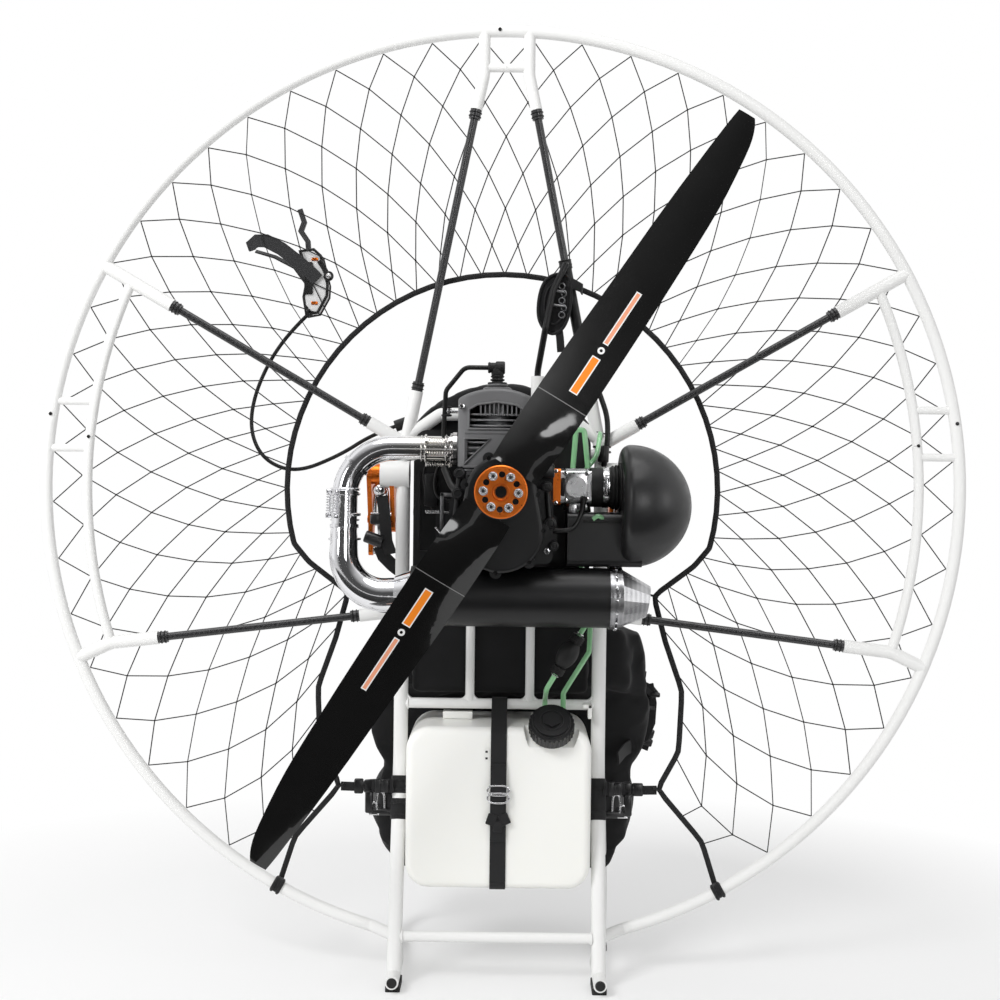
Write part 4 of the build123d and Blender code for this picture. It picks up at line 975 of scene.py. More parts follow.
def tipRivets():
    centre = at(*exhaustSet["tip"])
    rivets = []
    for index in range(exhaustSet["rivets"]):
        turn = math.tau * index / exhaustSet["rivets"]
        side = Vector((0, math.cos(turn), math.sin(turn)))
        rivets.append(barrel(centre + side * exhaustSet["rivetFrom"], centre + side * exhaustSet["rivetTo"],
                             exhaustSet["rivet"], 12, 0.0005))
    piece(joined(rivets, "tipRivets"), "chrome")


def intakeFittings():
    y, z = engineSet["axisY"], engineSet["intake"]
    steelParts = [barrel(at(148, y, z), at(157, y, z), 0.0302, 48, 0.0006),
                  block(at(147, y - 33, z - 9), at(158, y - 28, z + 9), 0.0015),
                  barrel(at(152.5, y - 32, z - 13), at(152.5, y - 32, z + 13), 0.003, 12, 0.0005)]
    steelParts += [block(at(149, y - 31, z + 12 + step * 5), at(156, y - 29.6, z + 14 + step * 5), 0)
                   for step in range(2)]
    piece(joined(steelParts, "intakeClamp"), "steel")
    dark = [barrel(at(86, y, z), at(92, y, z), 0.0275, 40, 0.0015),
            block(at(70, y - 24, z - 24), at(74.5, y + 24, z + 24), 0.003)]
    dark += [hoopRing(at(x, y, z), (1, 0, 0), radius * mm, 0.005)
             for x, radius in ((162, 29), (168, 31), (174, 34), (181, 40))]
    dark.append(block(at(118, -152, 701), at(172, -130, 706), 0.001))
    piece(smooth(joined(dark, "intakeRings"), 60), "black_rubber")
    body = [block(at(92, -134, z - 22), at(126, -128, z + 22), 0.003),
            block(at(98, -128, z - 40), at(112, -100, z - 24), 0.002),
            barrel(at(121, -120, z - 26), at(121, -140, z - 30), 0.004, 14, 0.0008),
            barrel(at(104, -116, 776), at(104, -116, 786), 0.0036, 14),
            barrel(at(126, -116, 776), at(126, -116, 786), 0.0036, 14)]
    piece(joined(body, "carburettorBody"), "bright_aluminium")


headerSprings()
jointSprings()
tipRivets()
intakeFittings()
print("exhaust and intake dressed")


# fuel

def hullPath(circles, samples=48):
    # the closed outline round circles, given as y, z and radius
    dots = sorted((y + r * math.cos(math.tau * i / samples), z + r * math.sin(math.tau * i / samples))
                  for y, z, r in circles for i in range(samples))

    def chain(places):
        kept = []
        for place in places:
            while len(kept) > 1 and ((kept[-1][0] - kept[-2][0]) * (place[1] - kept[-2][1])
                                     - (kept[-1][1] - kept[-2][1]) * (place[0] - kept[-2][0])) <= 0:
                kept.pop()
            kept.append(place)
        return kept[:-1]
    return chain(dots) + chain(reversed(dots))


strapSet = {"width": 24, "thickness": 1.8, "tail": 2.2 * mm, "buckle": 291, "slider": 248, "slack": 0.5,
            "railHeight": 413, "railRadius": 8.3, "tankRear": -60, "tankFront": 76, "tankLevels": (156, 376),
            "tankRound": 12, "ringWire": 3.2 * mm}
capSet = {"middle": (79, -54, 378), "ribs": 30, "circle": 33.3 * mm, "rib": 1.4 * mm, "from": 10 * mm,
          "to": 26 * mm, "rings": ((28.5 * mm, 27.5 * mm, 3 * mm), (34.5 * mm, 17 * mm, 2 * mm))}
bulbSet = {"top": (119, -64, 528), "low": (85, -60, 470), "ribs": (2, 5, 8, 11),
           "ribSize": (9.8 * mm, 1.6 * mm), "clip": 3, "clipSize": (5.5 * mm, 1.8 * mm), "capClips": (70, 98),
           "capClipSize": (5.2 * mm, 1.8 * mm)}


def tankStrap():
    grow = strapSet["thickness"] / 2 + strapSet["slack"]
    circles = [(0, strapSet["railHeight"], strapSet["railRadius"] + grow)]
    circles += [(y, z, strapSet["tankRound"] + grow) for y in (strapSet["tankRear"], strapSet["tankFront"])
                for z in strapSet["tankLevels"]]
    path = [at(0, y, z) for y, z in hullPath(circles)]
    parts = [ribbon(path + path[:1], (1, 0, 0), strapSet["width"] * mm, strapSet["thickness"] * mm, "loop")]
    rear = strapSet["tankRear"] - strapSet["tankRound"] - 2 * grow
    low, high = strapSet["slider"], strapSet["buckle"]
    parts.append(ribbon([at(0, rear - 1, high + 4), at(0, rear - 4, high - 6), at(0, rear - 3, low + 14),
                         at(0, rear - 1, low - 30)], (1, 0, 0), strapSet["width"] * mm, strapSet["tail"],
                        "tail"))
    parts.append(ribbon([at(0, rear - 1, 335), at(0, rear - 4, high + 14), at(0, rear - 6, high + 2),
                         at(0, rear - 3, high - 2)], (1, 0, 0), strapSet["width"] * mm, strapSet["tail"],
                        "upperFold"))
    for x, z, turn in ((-10, low + 4, 18), (10, low + 5, -24), (0, low - 6, 4)):
        parts.append(block(at(x - 7, rear - 6, z - 9), at(x + 7, rear - 2, z + 8), 0.0015,
                           angles=(0, math.radians(turn), 0)))
    piece(smooth(joined(parts, "tankStrap"), 50), "webbing", ["tank_strap"])
    rings = []
    for index, z in enumerate((high + 5, high - 6)):
        shape = [at(x, rear - 5 - index * 1.5, z + dz) for x, dz in
                 ((-11, 7), (11, 7), (15, 4), (17, -1), (13, -6), (8, -8), (-8, -8), (-13, -6), (-17, -1),
                  (-15, 4))]
        rings.append(smooth(toMesh(line("ring", shape, strapSet["ringWire"], "NURBS", sides=4, cyclic=True)),
                            60))
    piece(joined(rings, "strapRings"), "steel")


def tankFittings():
    bulbTop, bulbLow = at(*bulbSet["top"]), at(*bulbSet["low"])
    along = (bulbTop - bulbLow).normalized()
    pale = [block(at(-88, 0, 388.5), at(-42, 18, 400), 0.001), block(at(50, -10, 388.5), at(68, 8, 400), 0.001),
            block(at(136, -30, 396), at(142, -10, 418), 0.001),
            block(at(128, -30, 412), at(142, -10, 418), 0.001)]
    label = block(at(-22, -72.9, 338), at(-14, -72.2, 358), 0.0)
    marks = [block(at(-20, -73.1, z), at(-16.5, -72.8, z + 3), 0.0) for z in (341, 351)]
    piece(joined(pale + [label], "tankLugs"), "tank_plastic")
    piece(joined(marks, "labelMarks"), "black_plastic")
    rings = [hoopRing(end + inward * step * mm, along, *bulbSet["ribSize"])
             for end, inward in ((bulbLow, along), (bulbTop, -along)) for step in bulbSet["ribs"]]
    piece(joined(rings, "bulbRibs"), "black_rubber")
    ties = [hoopRing(end + outward * bulbSet["clip"] * mm, along, *bulbSet["clipSize"])
            for end, outward in ((bulbLow, -along), (bulbTop, along))]
    ties += [hoopRing(at(x, -20, 398), (0, 0, 1), *bulbSet["capClipSize"]) for x in bulbSet["capClips"]]
    piece(joined(ties, "hoseClips"), "steel")
    ribs = []
    middle, facing = at(*capSet["middle"]), Vector((0, -1, 1)).normalized()
    side = Vector((1, 0, 0))
    for index in range(capSet["ribs"]):
        turn = math.tau * index / capSet["ribs"]
        foot = middle + (side * math.cos(turn) + facing.cross(side) * math.sin(turn)) * capSet["circle"]
        ribs.append(barrel(foot + facing * capSet["from"], foot + facing * capSet["to"], capSet["rib"], 8))
    ribs += [hoopRing(middle + facing * height, facing, radius, thick)
             for height, radius, thick in capSet["rings"]]
    piece(joined(ribs, "capRibs"), "black_plastic")


tankStrap()
tankFittings()
print("tank dressed")


# lashings between the uprights, the seat and the net

def buckle(centre, along, across, length=0.03, width=0.026, thickness=0.008):
    # a side-release buckle: two bodies and a waist
    along, across = Vector(along).normalized(), Vector(across).normalized()
    turn = Matrix((along, across, along.cross(across))).transposed().to_euler()
    parts = []
    for shift, size, wide in ((-0.27, 0.42, 1.0), (0.22, 0.5, 0.86), (0.0, 0.2, 0.62)):
        deselect()
        bpy.ops.mesh.primitive_cube_add(size=1, location=Vector(centre) + along * shift * length, rotation=turn,
                                        scale=(size * length, wide * width, thickness))
        half = settle(named("half"))
        soften(half, thickness * 0.25)
        parts.append(half)
    return smooth(joined(parts, "buckle"))


def shackle(centre, height, width, wire):
    # a small steel link, open at the foot and closed by its pin
    shape = [Vector((-width / 2, 0, -height / 2)), Vector((-width / 2, 0, height * 0.2)),
             Vector((-width * 0.3, 0, height / 2)),
             Vector((width * 0.3, 0, height / 2)), Vector((width / 2, 0, height * 0.2)),
             Vector((width / 2, 0, -height / 2))]
    bow = smooth(toMesh(line("bow", [Vector(centre) + place for place in shape], wire, sides=4)), 60)
    pin = barrel(Vector(centre) + Vector((-width * 0.8, 0, -height / 2)),
                 Vector(centre) + Vector((width * 0.8, 0, -height / 2)), wire * 0.6, 14, 0.0004)
    return joined([bow, pin], "shackle")


lashSet = {"bend": (330, -86), "tube": 153.5, "wraps": {-1: ((236, 268), (274, 301)), 1: ((238, 301),)},
           "wrap": 12.8 * mm, "rim": (12.6 * mm, 2.2 * mm), "hang": (182, 262)}


def leanAt(height):
    # how far behind the uprights' plane their lower run stands at a height
    bendHeight, footDepth = lashSet["bend"]
    return (bendHeight - height) * footDepth / bendHeight


def lashings():
    dark, bright, cloth = [], [], []
    for side in (-1, 1):
        for low, high in lashSet["wraps"][side]:
            middle = (low + high) / 2
            axis = Vector((0, -lashSet["bend"][1], lashSet["bend"][0])).normalized()
            centre = at(side * lashSet["tube"], leanAt(middle), middle)
            half = (high - low) / 2 * mm
            cloth.append(barrel(centre - axis * half, centre + axis * half, lashSet["wrap"], 40, 0.0015))
            for share in (-0.55, 0.5):
                cloth.append(hoopRing(centre + axis * half * share, axis, *lashSet["rim"]))
        lean = leanAt(lashSet["hang"][1])
        hang = at(side * lashSet["hang"][0], lean + 2, lashSet["hang"][1])
        bright.append(shackle(hang, 0.030, 0.013, 0.0042))
        bright.append(shackle(hang + Vector((side * 0.010, -0.003, -0.010)), 0.018, 0.010, 0.0034))
        dark.append(barrel(hang + Vector((side * -0.018, 0, -0.016)), hang + Vector((side * 0.014, 0, -0.016)),
                           0.0055, 20, 0.0012))
        dark.append(block(hang + Vector((side * 0.018 - 0.006, -0.006, -0.018)),
                          hang + Vector((side * 0.018 + 0.006, 0.006, 0.016)), 0.003))
        cloth.append(ribbon([at(side * 162, lean - 12, 290), at(side * 176, lean - 10, 288),
                             at(side * 190, -4, 284),
                             at(side * 206, 4, 281)], (0, 0, 1), 0.020, 0.0022, "lash"))
        cloth.append(ribbon([at(side * 206, 4, 281), at(side * 228, 8, 279), at(side * 247, 10, 279)],
                            (0, 0, 1), 0.014, 0.0022, "lash"))
        dark.append(buckle(at(side * 209, 3, 281), (1, 0, 0), (0, 0, 1), 0.034, 0.023, 0.009))
        dark.append(buckle(at(side * 179, lean - 12, 289), (1, 0, 0), (0, 0, 1), 0.022, 0.022, 0.007))
        for tip in ((238, 583), (248, 281)):
            cloth.append(hoopRing(at(side * tip[0], 7, tip[1]), (0.3 * side, 0, 1), 0.0062, 0.003))
        cloth.append(ribbon([at(side * 160, lean - 2, 250), at(side * 172, lean + 4, 262),
                             at(side * 186, lean + 20, 268),
                             at(side * 196, 40, 258), at(side * 204, 92, 246)], (0, 0, 1), 0.026, 0.0026,
                            "lash"))
    piece(smooth(joined(cloth, "lashings"), 50), "webbing")
    piece(joined(dark, "lashingBuckles"), "black_plastic")
    piece(joined(bright, "lashingShackles"), "steel")


lashings()
print("lashings made")


# solid nodes copied and made even, for the padded pieces

def copyOf(name):
    copy = nodes[name].copy()
    copy.data = nodes[name].data.copy()
    copy.modifiers.clear()
    bpy.context.scene.collection.objects.link(copy)
    return settle(copy)


def remeshed(obj, size):
    only(obj)
    remesh = obj.modifiers.new("remesh", "REMESH")
    remesh.mode = "VOXEL"
    remesh.voxel_size = size
    soft = obj.modifiers.new("soft", "SMOOTH")
    soft.factor, soft.iterations = 0.5, 4
    return applyAll(obj)


def renamed(obj, name):
    obj.name = name
    obj.data.name = name
    return obj


# starter pull, its guide, and the sleeve round the right spar

pouchSet = {"voxel": 2.5 * mm, "rear": -25, "middle": (77, 1032), "inner": (0.62, 0.68), "piping": 4.5 * mm,
            "welt": 3 * mm,
            "outline": [(50, 1018), (56, 1060), (74, 1078), (100, 1076), (104, 1040), (96, 998), (76, 982),
                        (58, 994)],
            "links": 5, "linkTop": 1058, "linkStep": 11, "linkSize": (4.5 * mm, 2.2 * mm)}


def starterPouch():
    pocket = renamed(remeshed(copyOf("starter_pull"), pouchSet["voxel"]), "starterPocket")
    piece(smooth(pocket, 80), "black_cloth", ["starter_pull"])
    path = [at(x, pouchSet["rear"], z) for x, z in pouchSet["outline"]]
    piping = smooth(toMesh(line("piping", path, pouchSet["piping"], "NURBS", sides=4, cyclic=True)), 60)
    (middleX, middleZ), (shareX, shareZ) = pouchSet["middle"], pouchSet["inner"]
    inner = [at(middleX + (x - middleX) * shareX, pouchSet["rear"], middleZ + (z - middleZ) * shareZ)
             for x, z in pouchSet["outline"]]
    welt = smooth(toMesh(line("welt", inner, pouchSet["welt"], "NURBS", sides=3, cyclic=True)), 60)
    tail = ribbon([at(82, -22, 1006), at(86, -24, 980), at(88, -23, 958)], (1, 0, 0), 0.012, 0.002, "tail")
    tie = ribbon([at(92, -22, 1066), at(104, -26, 1063), at(118, -24, 1056), at(120, -10, 1054)], (0, 0, 1),
                 0.014, 0.0022, "tie")
    piece(smooth(joined([piping, welt, tail, tie], "starterPouch"), 60), "webbing")
    links = []
    for row in range(pouchSet["links"]):
        place = at(88 + (row % 2) * 3, -27, pouchSet["linkTop"] - row * pouchSet["linkStep"])
        links.append(hoopRing(place, (0.9 if row % 2 else 0.2, 1, 0.2), *pouchSet["linkSize"], sides=24))
    for z in (1052, 1030):
        links.append(barrel(at(70, -27, z), at(94, -27, z - 3), 0.0022, 12, 0.0005))
    piece(smooth(joined(links, "starterLinks"), 60), "steel", finish="grey_casting")


def sparSleeve():
    # the black sleeve on the lower half of the right upper spar, and its tie
    ends = spanEnds("upper_spar_right")
    low, high = sorted(ends, key=lambda place: place.z)
    along = (high - low).normalized()
    size = (high - low).length
    sleeve = barrel(low + along * 0.012, low + along * size * 0.47, 0.0083, 32, 0.0006)
    rings = [hoopRing(low + along * size * share, along, 0.0088, 0.003) for share in (0.47, 0.455, 0.04)]
    rings.append(barrel(low + along * size * 0.44, low + along * size * 0.468, 0.0098, 32, 0.001))
    piece(smooth(joined([sleeve] + rings, "sparSleeve"), 60), "cable_black")


starterPouch()
sparSleeve()
print("starter pull dressed")


# throttle

gripSet = {"outline": [(-319, 1113), (-297, 1116), (-286, 1106), (-275, 1062), (-276, 1044), (-290, 1018),
                       (-308, 1014), (-312, 1042), (-307, 1069)],
           "faces": (6.5, 33.5), "rim": 4.5 * mm, "strap": (21 * mm, 2.5 * mm), "under": (14 * mm, 2 * mm),
           "band": [(-396, 3, 1119), (-385, 0, 1127), (-370, -1, 1127), (-346, -1, 1115), (-321, 0, 1096),
                    (-302, 1, 1080), (-290, 2, 1068)], "ball": 5.2 * mm}


def gripDress():
    rims = []
    for y in gripSet["faces"]:
        path = [at(x, y, z) for x, z in gripSet["outline"]]
        rims.append(smooth(toMesh(line("rim", path, gripSet["rim"], "POLY", sides=3, cyclic=True)), 60))
    rims.append(block(at(-311, 2, 1046), at(-298, 8, 1096), 0.002))
    rims.append(barrel(at(-301, 20, 1022), at(-308, 20, 1016), 0.0055, 20, 0.001))
    piece(smooth(joined(rims, "gripRims"), 60), "black_rubber")
    strap = ribbon([at(*point) for point in gripSet["band"]], (0.55, 0, 0.83), *gripSet["strap"], "handStrap")
    under = ribbon([at(-392, 30, 1116), at(-362, 34, 1108), at(-330, 36, 1092), at(-312, 36, 1068),
                    at(-306, 30, 1046)],
                   (0.3, 0.9, 0.3), *gripSet["under"], "under")
    tab = block(at(-400, 1, 1112), at(-388, 5, 1128), 0.0015, angles=(0, math.radians(-20), 0))
    piece(smooth(joined([strap, under], "handStrap"), 50), "webbing", finish="strap_grey")
    tab.name = "handStrapTab"
    piece(tab, "webbing", finish="strap_grey")
    arm = ribbon([at(-288, 4, 1098), at(-280, 3, 1086), at(-274, 3, 1075)], (0.85, 0, 0.5), 0.008, 0.004,
                 "trigger", 0.0008)
    ring = hoopRing(at(-273, 2, 1074), (0, 1, 0), 0.006, 0.004)
    piece(smooth(joined([arm, ring], "trigger"), 50), "black_plastic")
    deselect()
    bpy.ops.mesh.primitive_uv_sphere_add(segments=24, ring_count=14, radius=gripSet["ball"],
                                         location=at(-273, 2, 1074))
    ball = smooth(settle(named("triggerBall")))
    piece(ball, "steel")
    marks = [block(at(-300, 4.6, z), at(-290, 6.2, z + 5), 0.0005) for z in (1030, 1098)]
    piece(joined(marks, "gripMarks"), "orange_anodised")


gripDress()
print("throttle dressed")


# swing arms' brackets

def bracketDress():
    bright, dark, cloth = [], [], []
    for side in (-1, 1):
        for y, z, radius in ((35, 697, 8.5), (0, 768, 9.5), (29, 649, 5.5)):
            outer = at(side * 203, y, z)
            bright.append(barrel(outer - Vector((side * 0.004, 0, 0)), outer + Vector((side * 0.0035, 0, 0)),
                                 radius * mm, 6, 0.0006))
            bright.append(barrel(outer - Vector((side * 0.006, 0, 0)), outer + Vector((side * 0.0008, 0, 0)),
                                 radius * mm * 1.3, 32, 0.0003))
        link = shackle(at(side * 188, 8, 728), 0.044, 0.020, 0.006)
        bright.append(link)
        deselect()
        bpy.ops.mesh.primitive_uv_sphere_add(segments=28, ring_count=16, radius=0.011,
                                             location=at(side * 190, -4, 744))
        bright.append(smooth(settle(named("knob"))))
        dark.append(barrel(at(side * 212, -4, 672), at(side * 184, -4, 662), 0.0095, 28, 0.002))
        dark.append(block(at(side * 196 - 8, -8, 690), at(side * 196 + 8, 2, 706), 0.003))
        cloth.append(ribbon([at(side * 186, -6, 734), at(side * 182, -10, 712), at(side * 180, -8, 690),
                             at(side * 178, -4, 664),
                             at(side * 172, 6, 644)], (1, 0, 0), 0.018, 0.003, "riser"))
        cloth.append(ribbon([at(side * 190, 2, 656), at(side * 184, 8, 640), at(side * 170, 10, 626),
                             at(side * 160, 14, 618)],
                            (0.6, 0, 0.8), 0.020, 0.003, "riser"))
    piece(smooth(joined(bright, "bracketBolts"), 50), "steel")
    piece(smooth(joined(dark, "bracketStops"), 50), "black_plastic")
    piece(smooth(joined(cloth, "bracketStraps"), 50), "webbing")


bracketDress()
print("brackets dressed")


# harness: padded cloth, blown up between its seams

harnessSet = {"voxel": 8 * mm, "cap": 13 * mm, "pressure": 4, "shrink": -0.03, "backSeams": (560, 660, 760),
              "columns": (-92, 92),
              "seatSeams": (178, 285, 446), "seatColumns": (-120, 0, 120), "panelRear": (80, 142),
              "panelFront": (138, 194),
              "panelTop": 520, "panelHeight": 410, "quality": 4, "mass": 0.4, "tension": 20, "bending": 4,
              "frames": 20,
              "rightPanel": [(110, 520), (224, 512), (234, 470), (241, 400), (238, 350), (231, 317), (216, 288),
                             (220, 230), (213, 176), (197, 149), (180, 116), (110, 116)],
              "leftPanel": [(-110, 400), (-186, 392), (-199, 358), (-190, 305), (-178, 285), (-208, 224),
                            (-198, 170), (-180, 137), (-152, 112), (-110, 112)]}


def near(value, places, reach=5 * mm):
    return any(abs(value - place * mm) < reach for place in places)


def puffed(obj, held):
    # a cloth skin blown up from inside, kept where it is sewn and within cap of its cut
    start = [vertex.co.copy() for vertex in obj.data.vertices]
    group = obj.vertex_groups.new(name="sewn")
    group.add([vertex.index for vertex in obj.data.vertices if held(vertex.co)], 1.0, "ADD")
    cloth = obj.modifiers.new("cloth", "CLOTH")
    cloth.settings.quality = harnessSet["quality"]
    cloth.settings.mass = harnessSet["mass"]
    cloth.settings.tension_stiffness = cloth.settings.compression_stiffness = harnessSet["tension"]
    cloth.settings.bending_stiffness = harnessSet["bending"]
    cloth.settings.use_pressure = True
    cloth.settings.uniform_pressure_force = harnessSet["pressure"]
    cloth.settings.shrink_min = harnessSet["shrink"]
    cloth.settings.vertex_group_mass = group.name
    cloth.settings.effector_weights.gravity = 0
    cloth.collision_settings.use_self_collision = False
    for step in range(1, harnessSet["frames"] + 1):
        bpy.context.scene.frame_set(step)
    view = obj.evaluated_get(bpy.context.evaluated_depsgraph_get())
    moved = [vertex.co.copy() for vertex in view.data.vertices]
    obj.modifiers.remove(cloth)
    bpy.context.scene.frame_set(1)
    for vertex, before, after in zip(obj.data.vertices, start, moved):
        step = after - before
        vertex.co = before + step * min(1, harnessSet["cap"] / max(step.length, 1e-9))
    only(obj)
    finer = obj.modifiers.new("finer", "SUBSURF")
    finer.levels = 1
    return applyAll(obj)


def sidePanel(outline):
    # a panel of the seat's side, thicker and further forward towards its foot
    front, rear = harnessSet["panelFront"], harnessSet["panelRear"]
    corners = []
    for depths in (rear, front):
        for x, z in outline:
            share = (harnessSet["panelTop"] - z) / harnessSet["panelHeight"]
            corners.append(at(x, depths[0] + (depths[1] - depths[0]) * share, z))
    count = len(outline)
    faces = [list(range(count)), list(range(2 * count - 1, count - 1, -1))]
    faces += [[index, index + count, (index + 1) % count + count, (index + 1) % count]
              for index in range(count)]
    mesh = bpy.data.meshes.new("sidePanel")
    mesh.from_pydata(corners, [], faces)
    panel = bpy.data.objects.new("sidePanel", mesh)
    bpy.context.scene.collection.objects.link(panel)
    only(panel)
    bpy.ops.object.mode_set(mode="EDIT")
    bpy.ops.mesh.select_all(action="SELECT")
    bpy.ops.mesh.normals_make_consistent(inside=False)
    bpy.ops.object.mode_set(mode="OBJECT")
    return panel


def harnessBody():
    back = remeshed(copyOf("harness_back"), harnessSet["voxel"])
    low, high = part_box("harness_back")

    def backHeld(place):
        return (place.y < low.y + 12 * mm or near(place.z, harnessSet["backSeams"])
                or (near(place.x, harnessSet["columns"]) and place.z < at(0, 0, 850).z))
    back = renamed(puffed(back, backHeld), "harnessBack")
    piece(smooth(back, 80), "black_cloth", ["harness_back"])
    bulges = [sidePanel(harnessSet["rightPanel"]), sidePanel(harnessSet["leftPanel"]),
              block(at(-150, 78, 425), at(150, 140, 520), 0.02)]
    seat = joined([copyOf("harness_seat")] + bulges, "seat")
    seat = remeshed(seat, harnessSet["voxel"])
    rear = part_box("harness_seat")[0].y

    def seatHeld(place):
        return (place.y < rear + 10 * mm or near(place.z, harnessSet["seatSeams"])
                or near(place.x, harnessSet["seatColumns"]))
    seat = renamed(puffed(seat, seatHeld), "harnessSeat")
    piece(smooth(seat, 80), "black_cloth", ["harness_seat"])


shoulderSet = {"front": 57.3, "pad": 58, "padThick": 13, "webbing": 26}


def shoulderStraps():
    front = shoulderSet["front"]
    pads, webs, dark = [], [], []
    for side in (-1, 1):
        route = [(75, front - 4, 836), (76, front + 40, 852), (80, front + 86, 820), (86, front + 106, 740),
                 (92, front + 98, 670), (100, front + 62, 600), (105, front + 42, 540), (105, front + 40, 516)]
        path = curved([at(side * x, y, z) for x, y, z in route], 5)
        pads.append(ribbon(path, (1, 0, 0), shoulderSet["pad"] * mm, shoulderSet["padThick"] * mm, "pad",
                           0.005))
        over = []
        for here, following in zip(path, path[1:] + path[-1:]):
            along = (path[-1] - path[-2]) if here == following else (following - here)
            out = Vector((1, 0, 0)).cross(along.normalized())
            over.append(here + out.normalized() * (-0.0078 if out.y < 0 else 0.0078))
        webs.append(ribbon(over[3:], (1, 0, 0), shoulderSet["webbing"] * mm, 0.002, "web"))
        for share, length in ((0.42, 0.038), (0.74, 0.034)):
            index = int(share * len(over))
            along = over[index + 1] - over[index - 1]
            dark.append(buckle(over[index] + Vector((0, 0.003, 0)), along, (1, 0, 0), length, 0.034, 0.008))
        lap = [at(side * x, y, z)
               for x, y, z in ((200, 150, 430), (214, 176, 380), (196, 206, 320), (150, 222, 262),
                               (96, 230, 214))]
        webs.append(ribbon(curved(lap, 5), (0.2, 0.3, 1), 0.030, 0.0024, "lap"))
        dark.append(buckle(lap[2] + Vector((0, 0.004, 0)), lap[3] - lap[1], (0.2, 0.3, 1), 0.045, 0.036, 0.010))
    chest = [at(x, front + 108 + 6 * math.cos(x / 60), 716) for x in range(-88, 89, 16)]
    webs.append(ribbon(chest, (0, 0, 1), 0.025, 0.002, "chest"))
    dark.append(buckle(at(0, front + 116, 716), (1, 0, 0), (0, 0, 1), 0.062, 0.036, 0.011))
    pads = joined(pads, "shoulderPads")
    piece(smooth(pads, 60), "black_cloth", ["shoulder_straps"])
    piece(smooth(joined(webs, "harnessWebbing"), 50), "webbing")
    piece(joined(dark, "harnessBuckles"), "black_plastic")


def sideStraps():
    # the loose adjusting strap at the seat's right side, with its tab and buckle
    cloth = [ribbon([at(216, 140, 428), at(234, 146, 422), at(250, 150, 414), at(258, 152, 404)], (0, 0.2, 1),
                    0.018, 0.003, "s"),
             ribbon([at(246, 150, 424), at(252, 152, 392), at(250, 150, 360), at(240, 148, 336),
                     at(222, 144, 326)], (1, 0, 0.3),
                    0.018, 0.004, "s"),
             ribbon([at(228, 142, 372), at(236, 150, 350), at(242, 152, 332), at(236, 150, 316)], (1, 0, 0.2),
                    0.022, 0.004, "s"),
             ribbon([at(190, 60, 318), at(204, 90, 326), at(226, 130, 330)], (0, 0, 1), 0.022, 0.003, "s"),
             ribbon([at(236, 148, 446), at(233, 147, 420), at(236, 147, 398)], (1, 0, 0), 0.014, 0.003, "s")]
    dark = [block(at(246, 146, 402), at(266, 156, 410), 0.002),
            buckle(at(244, 152, 336), (0.3, 0, 1), (1, 0, -0.3), 0.03, 0.026, 0.009),
            barrel(at(240, 150, 384), at(258, 152, 384), 0.004, 16, 0.0008)]
    piece(smooth(joined(cloth, "sideStraps"), 50), "webbing")
    piece(joined(dark, "sideBuckles"), "black_plastic")


harnessBody()
shoulderStraps()
sideStraps()
print("harness sewn")


# floor and light

worldSet = {"floorFade": (0.4, 1.15), "floorGlow": 0.35, "behind": 0.05, "ahead": 0.62, "above": 0.3,
            "beside": 0.35, "shine": 1.6, "fill": 0.65,
            "windows": [((0.35, -0.92, 0.2), 10, 6.5), ((0.9, -0.4, 0.17), 16, 1.6),
                        ((0.0, -0.25, 1.0), 24, 3.5), ((-0.6, -0.7, 0.3), 8, 6.5)]}


def paleFloor():
    only(nodes["skid_pads"])
    bpy.ops.mesh.primitive_plane_add(size=60, location=(0, 0, 0))
    floor = named("floor")
    finish = Finish("paleFloor", (0.93, 0.93, 0.93), 0.8)
    x, y, z = finish.parts(finish.place())
    far = finish.span((x * x * 0.7 + y * y).math("SQRT"), *worldSet["floorFade"], 0, 1)
    path = finish.node("ShaderNodeLightPath", output="Is Camera Ray")
    glow = finish.node("ShaderNodeEmission", None, {"Color": (1, 1, 1), "Strength": 1.0})
    blend = {0: far.math("MAXIMUM", worldSet["floorGlow"]) * path, 1: Flow(finish, finish.shader.outputs[0]),
             2: glow}
    mixer = finish.node("ShaderNodeMixShader", None, blend)
    finish.tree.links.new(mixer.socket, finish.tree.nodes["Material Output"].inputs["Surface"])
    give(floor, finish.material)


def lamp(name, place, target, size, power):
    data = bpy.data.lights.new(name, "AREA")
    data.energy, data.shape, data.size = power, "SQUARE", size
    obj = bpy.data.objects.new(name, data)
    bpy.context.scene.collection.objects.link(obj)
    obj.location = place
    obj.rotation_euler = (Vector(target) - Vector(place)).to_track_quat("-Z", "Y").to_euler()
    obj.visible_glossy = False


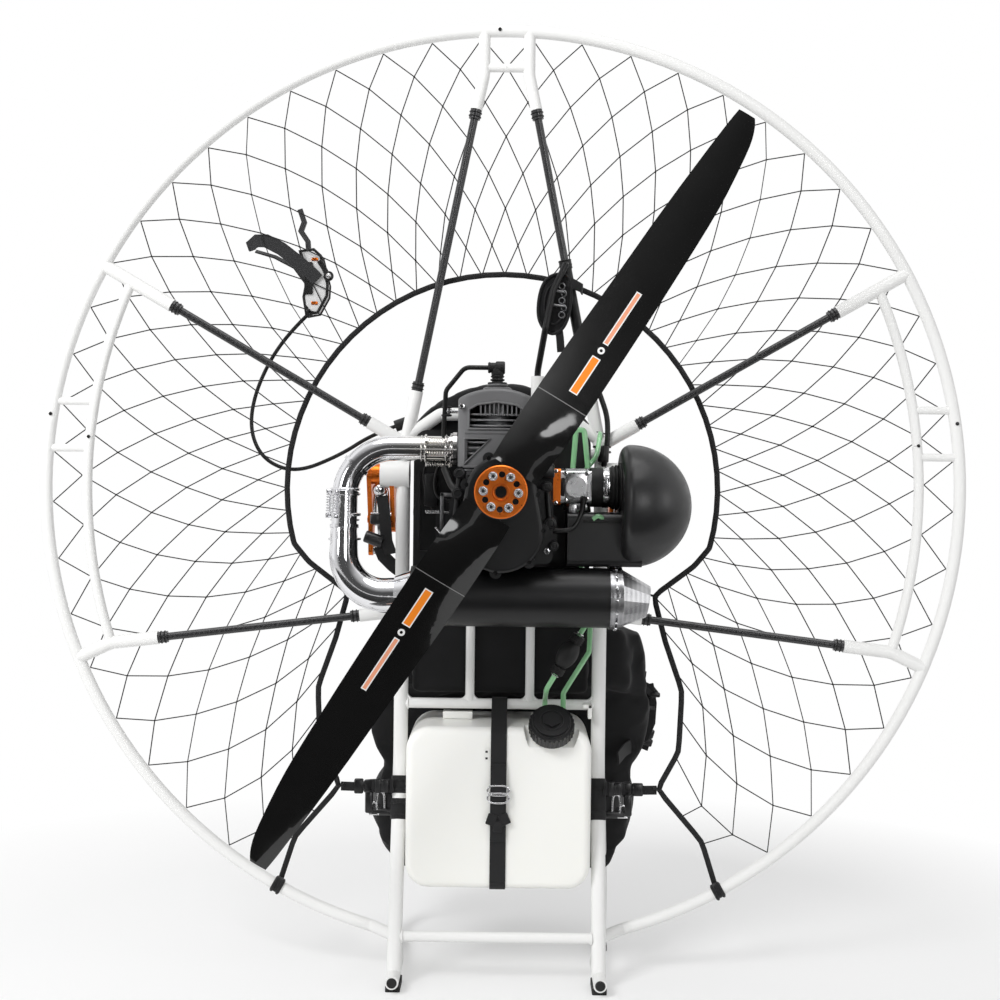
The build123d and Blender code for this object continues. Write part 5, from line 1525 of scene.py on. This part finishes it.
def studioWorld():
    # white to the camera; otherwise bright overhead and ahead, dark behind the camera
    world = bpy.data.worlds.new("studio")
    bpy.context.scene.world = world
    world.cycles.sampling_method = "NONE"
    world.use_nodes = True
    tree = world.node_tree
    tree.nodes.clear()

    def node(kind, values=None, **settings):
        made = tree.nodes.new(kind)
        for key, value in settings.items():
            setattr(made, key, value)
        for key, value in (values or {}).items():
            if isinstance(value, bpy.types.NodeSocket):
                tree.links.new(value, made.inputs[key])
            else:
                made.inputs[key].default_value = value
        return made

    place = node("ShaderNodeTexCoord").outputs["Generated"]
    parts = node("ShaderNodeSeparateXYZ", {0: place}).outputs
    ahead = node("ShaderNodeMapRange",
                 {"Value": parts[1], "From Min": -0.55, "From Max": 0.35, "To Min": worldSet["behind"],
                                        "To Max": worldSet["ahead"]},
                 interpolation_type="SMOOTHSTEP").outputs[0]
    above = node("ShaderNodeMapRange", {"Value": parts[2], "From Min": 0.35, "From Max": 0.8, "To Min": 0.0,
                                        "To Max": worldSet["above"]},
                 interpolation_type="SMOOTHSTEP").outputs[0]
    side = node("ShaderNodeMath", {0: parts[0]}, operation="ABSOLUTE").outputs[0]
    beside = node("ShaderNodeMapRange", {"Value": side, "From Min": 0.55, "From Max": 0.9, "To Min": 0.0,
                                         "To Max": worldSet["beside"]},
                  interpolation_type="SMOOTHSTEP").outputs[0]
    total = node("ShaderNodeMath", {0: ahead, 1: above}, operation="ADD").outputs[0]
    total = node("ShaderNodeMath", {0: total, 1: beside}, operation="ADD").outputs[0]
    lit = node("ShaderNodeBackground", {"Color": (1, 1, 1, 1), "Strength": worldSet["fill"]}).outputs[0]
    seen = node("ShaderNodeBackground", {"Color": (1, 1, 1, 1), "Strength": 1.0}).outputs[0]
    bright = node("ShaderNodeMath", {0: total, 1: worldSet["shine"]}, operation="MULTIPLY",
                  use_clamp=True).outputs[0]
    for toward, spread, strength in worldSet["windows"]:
        facing = node("ShaderNodeVectorMath", {0: place, 1: Vector(toward).normalized()},
                      operation="DOT_PRODUCT").outputs["Value"]
        window = node("ShaderNodeMapRange", {"Value": facing, "From Min": math.cos(math.radians(spread)),
                                             "From Max": math.cos(math.radians(spread * 0.8)), "To Min": 0.0,
                                             "To Max": strength},
                      interpolation_type="SMOOTHSTEP").outputs[0]
        bright = node("ShaderNodeMath", {0: bright, 1: window}, operation="ADD").outputs[0]
    mirrored = node("ShaderNodeBackground", {"Color": (1, 1, 1, 1), "Strength": bright}).outputs[0]
    path = node("ShaderNodeLightPath").outputs
    gloss = node("ShaderNodeMath", {0: path["Is Glossy Ray"], 1: path["Is Transmission Ray"]},
                 operation="MAXIMUM").outputs[0]
    shone = node("ShaderNodeMixShader", {0: gloss, 1: lit, 2: mirrored}).outputs[0]
    blend = node("ShaderNodeMixShader", {0: path["Is Camera Ray"], 1: shone, 2: seen}).outputs[0]
    node("ShaderNodeOutputWorld", {"Surface": blend})


def card(name, low, high):
    # a black card that only reflections see
    sheet = block(low, high, name=name)
    sheet.name = name
    give(sheet, Finish(name + "Black", (0.002, 0.002, 0.002), 0.9).material)
    sheet.visible_camera = sheet.visible_diffuse = sheet.visible_shadow = False


paleFloor()
studioWorld()
card("floorCard", (-4, -6, 0.004), (4, -0.75, 0.006))
lamp("keyLamp", (-1.9, -2.4, 2.9), (0, 0, 0.75), 1.3, 83)
bpy.context.scene.view_settings.view_transform = "Standard"
print("floor and light set")
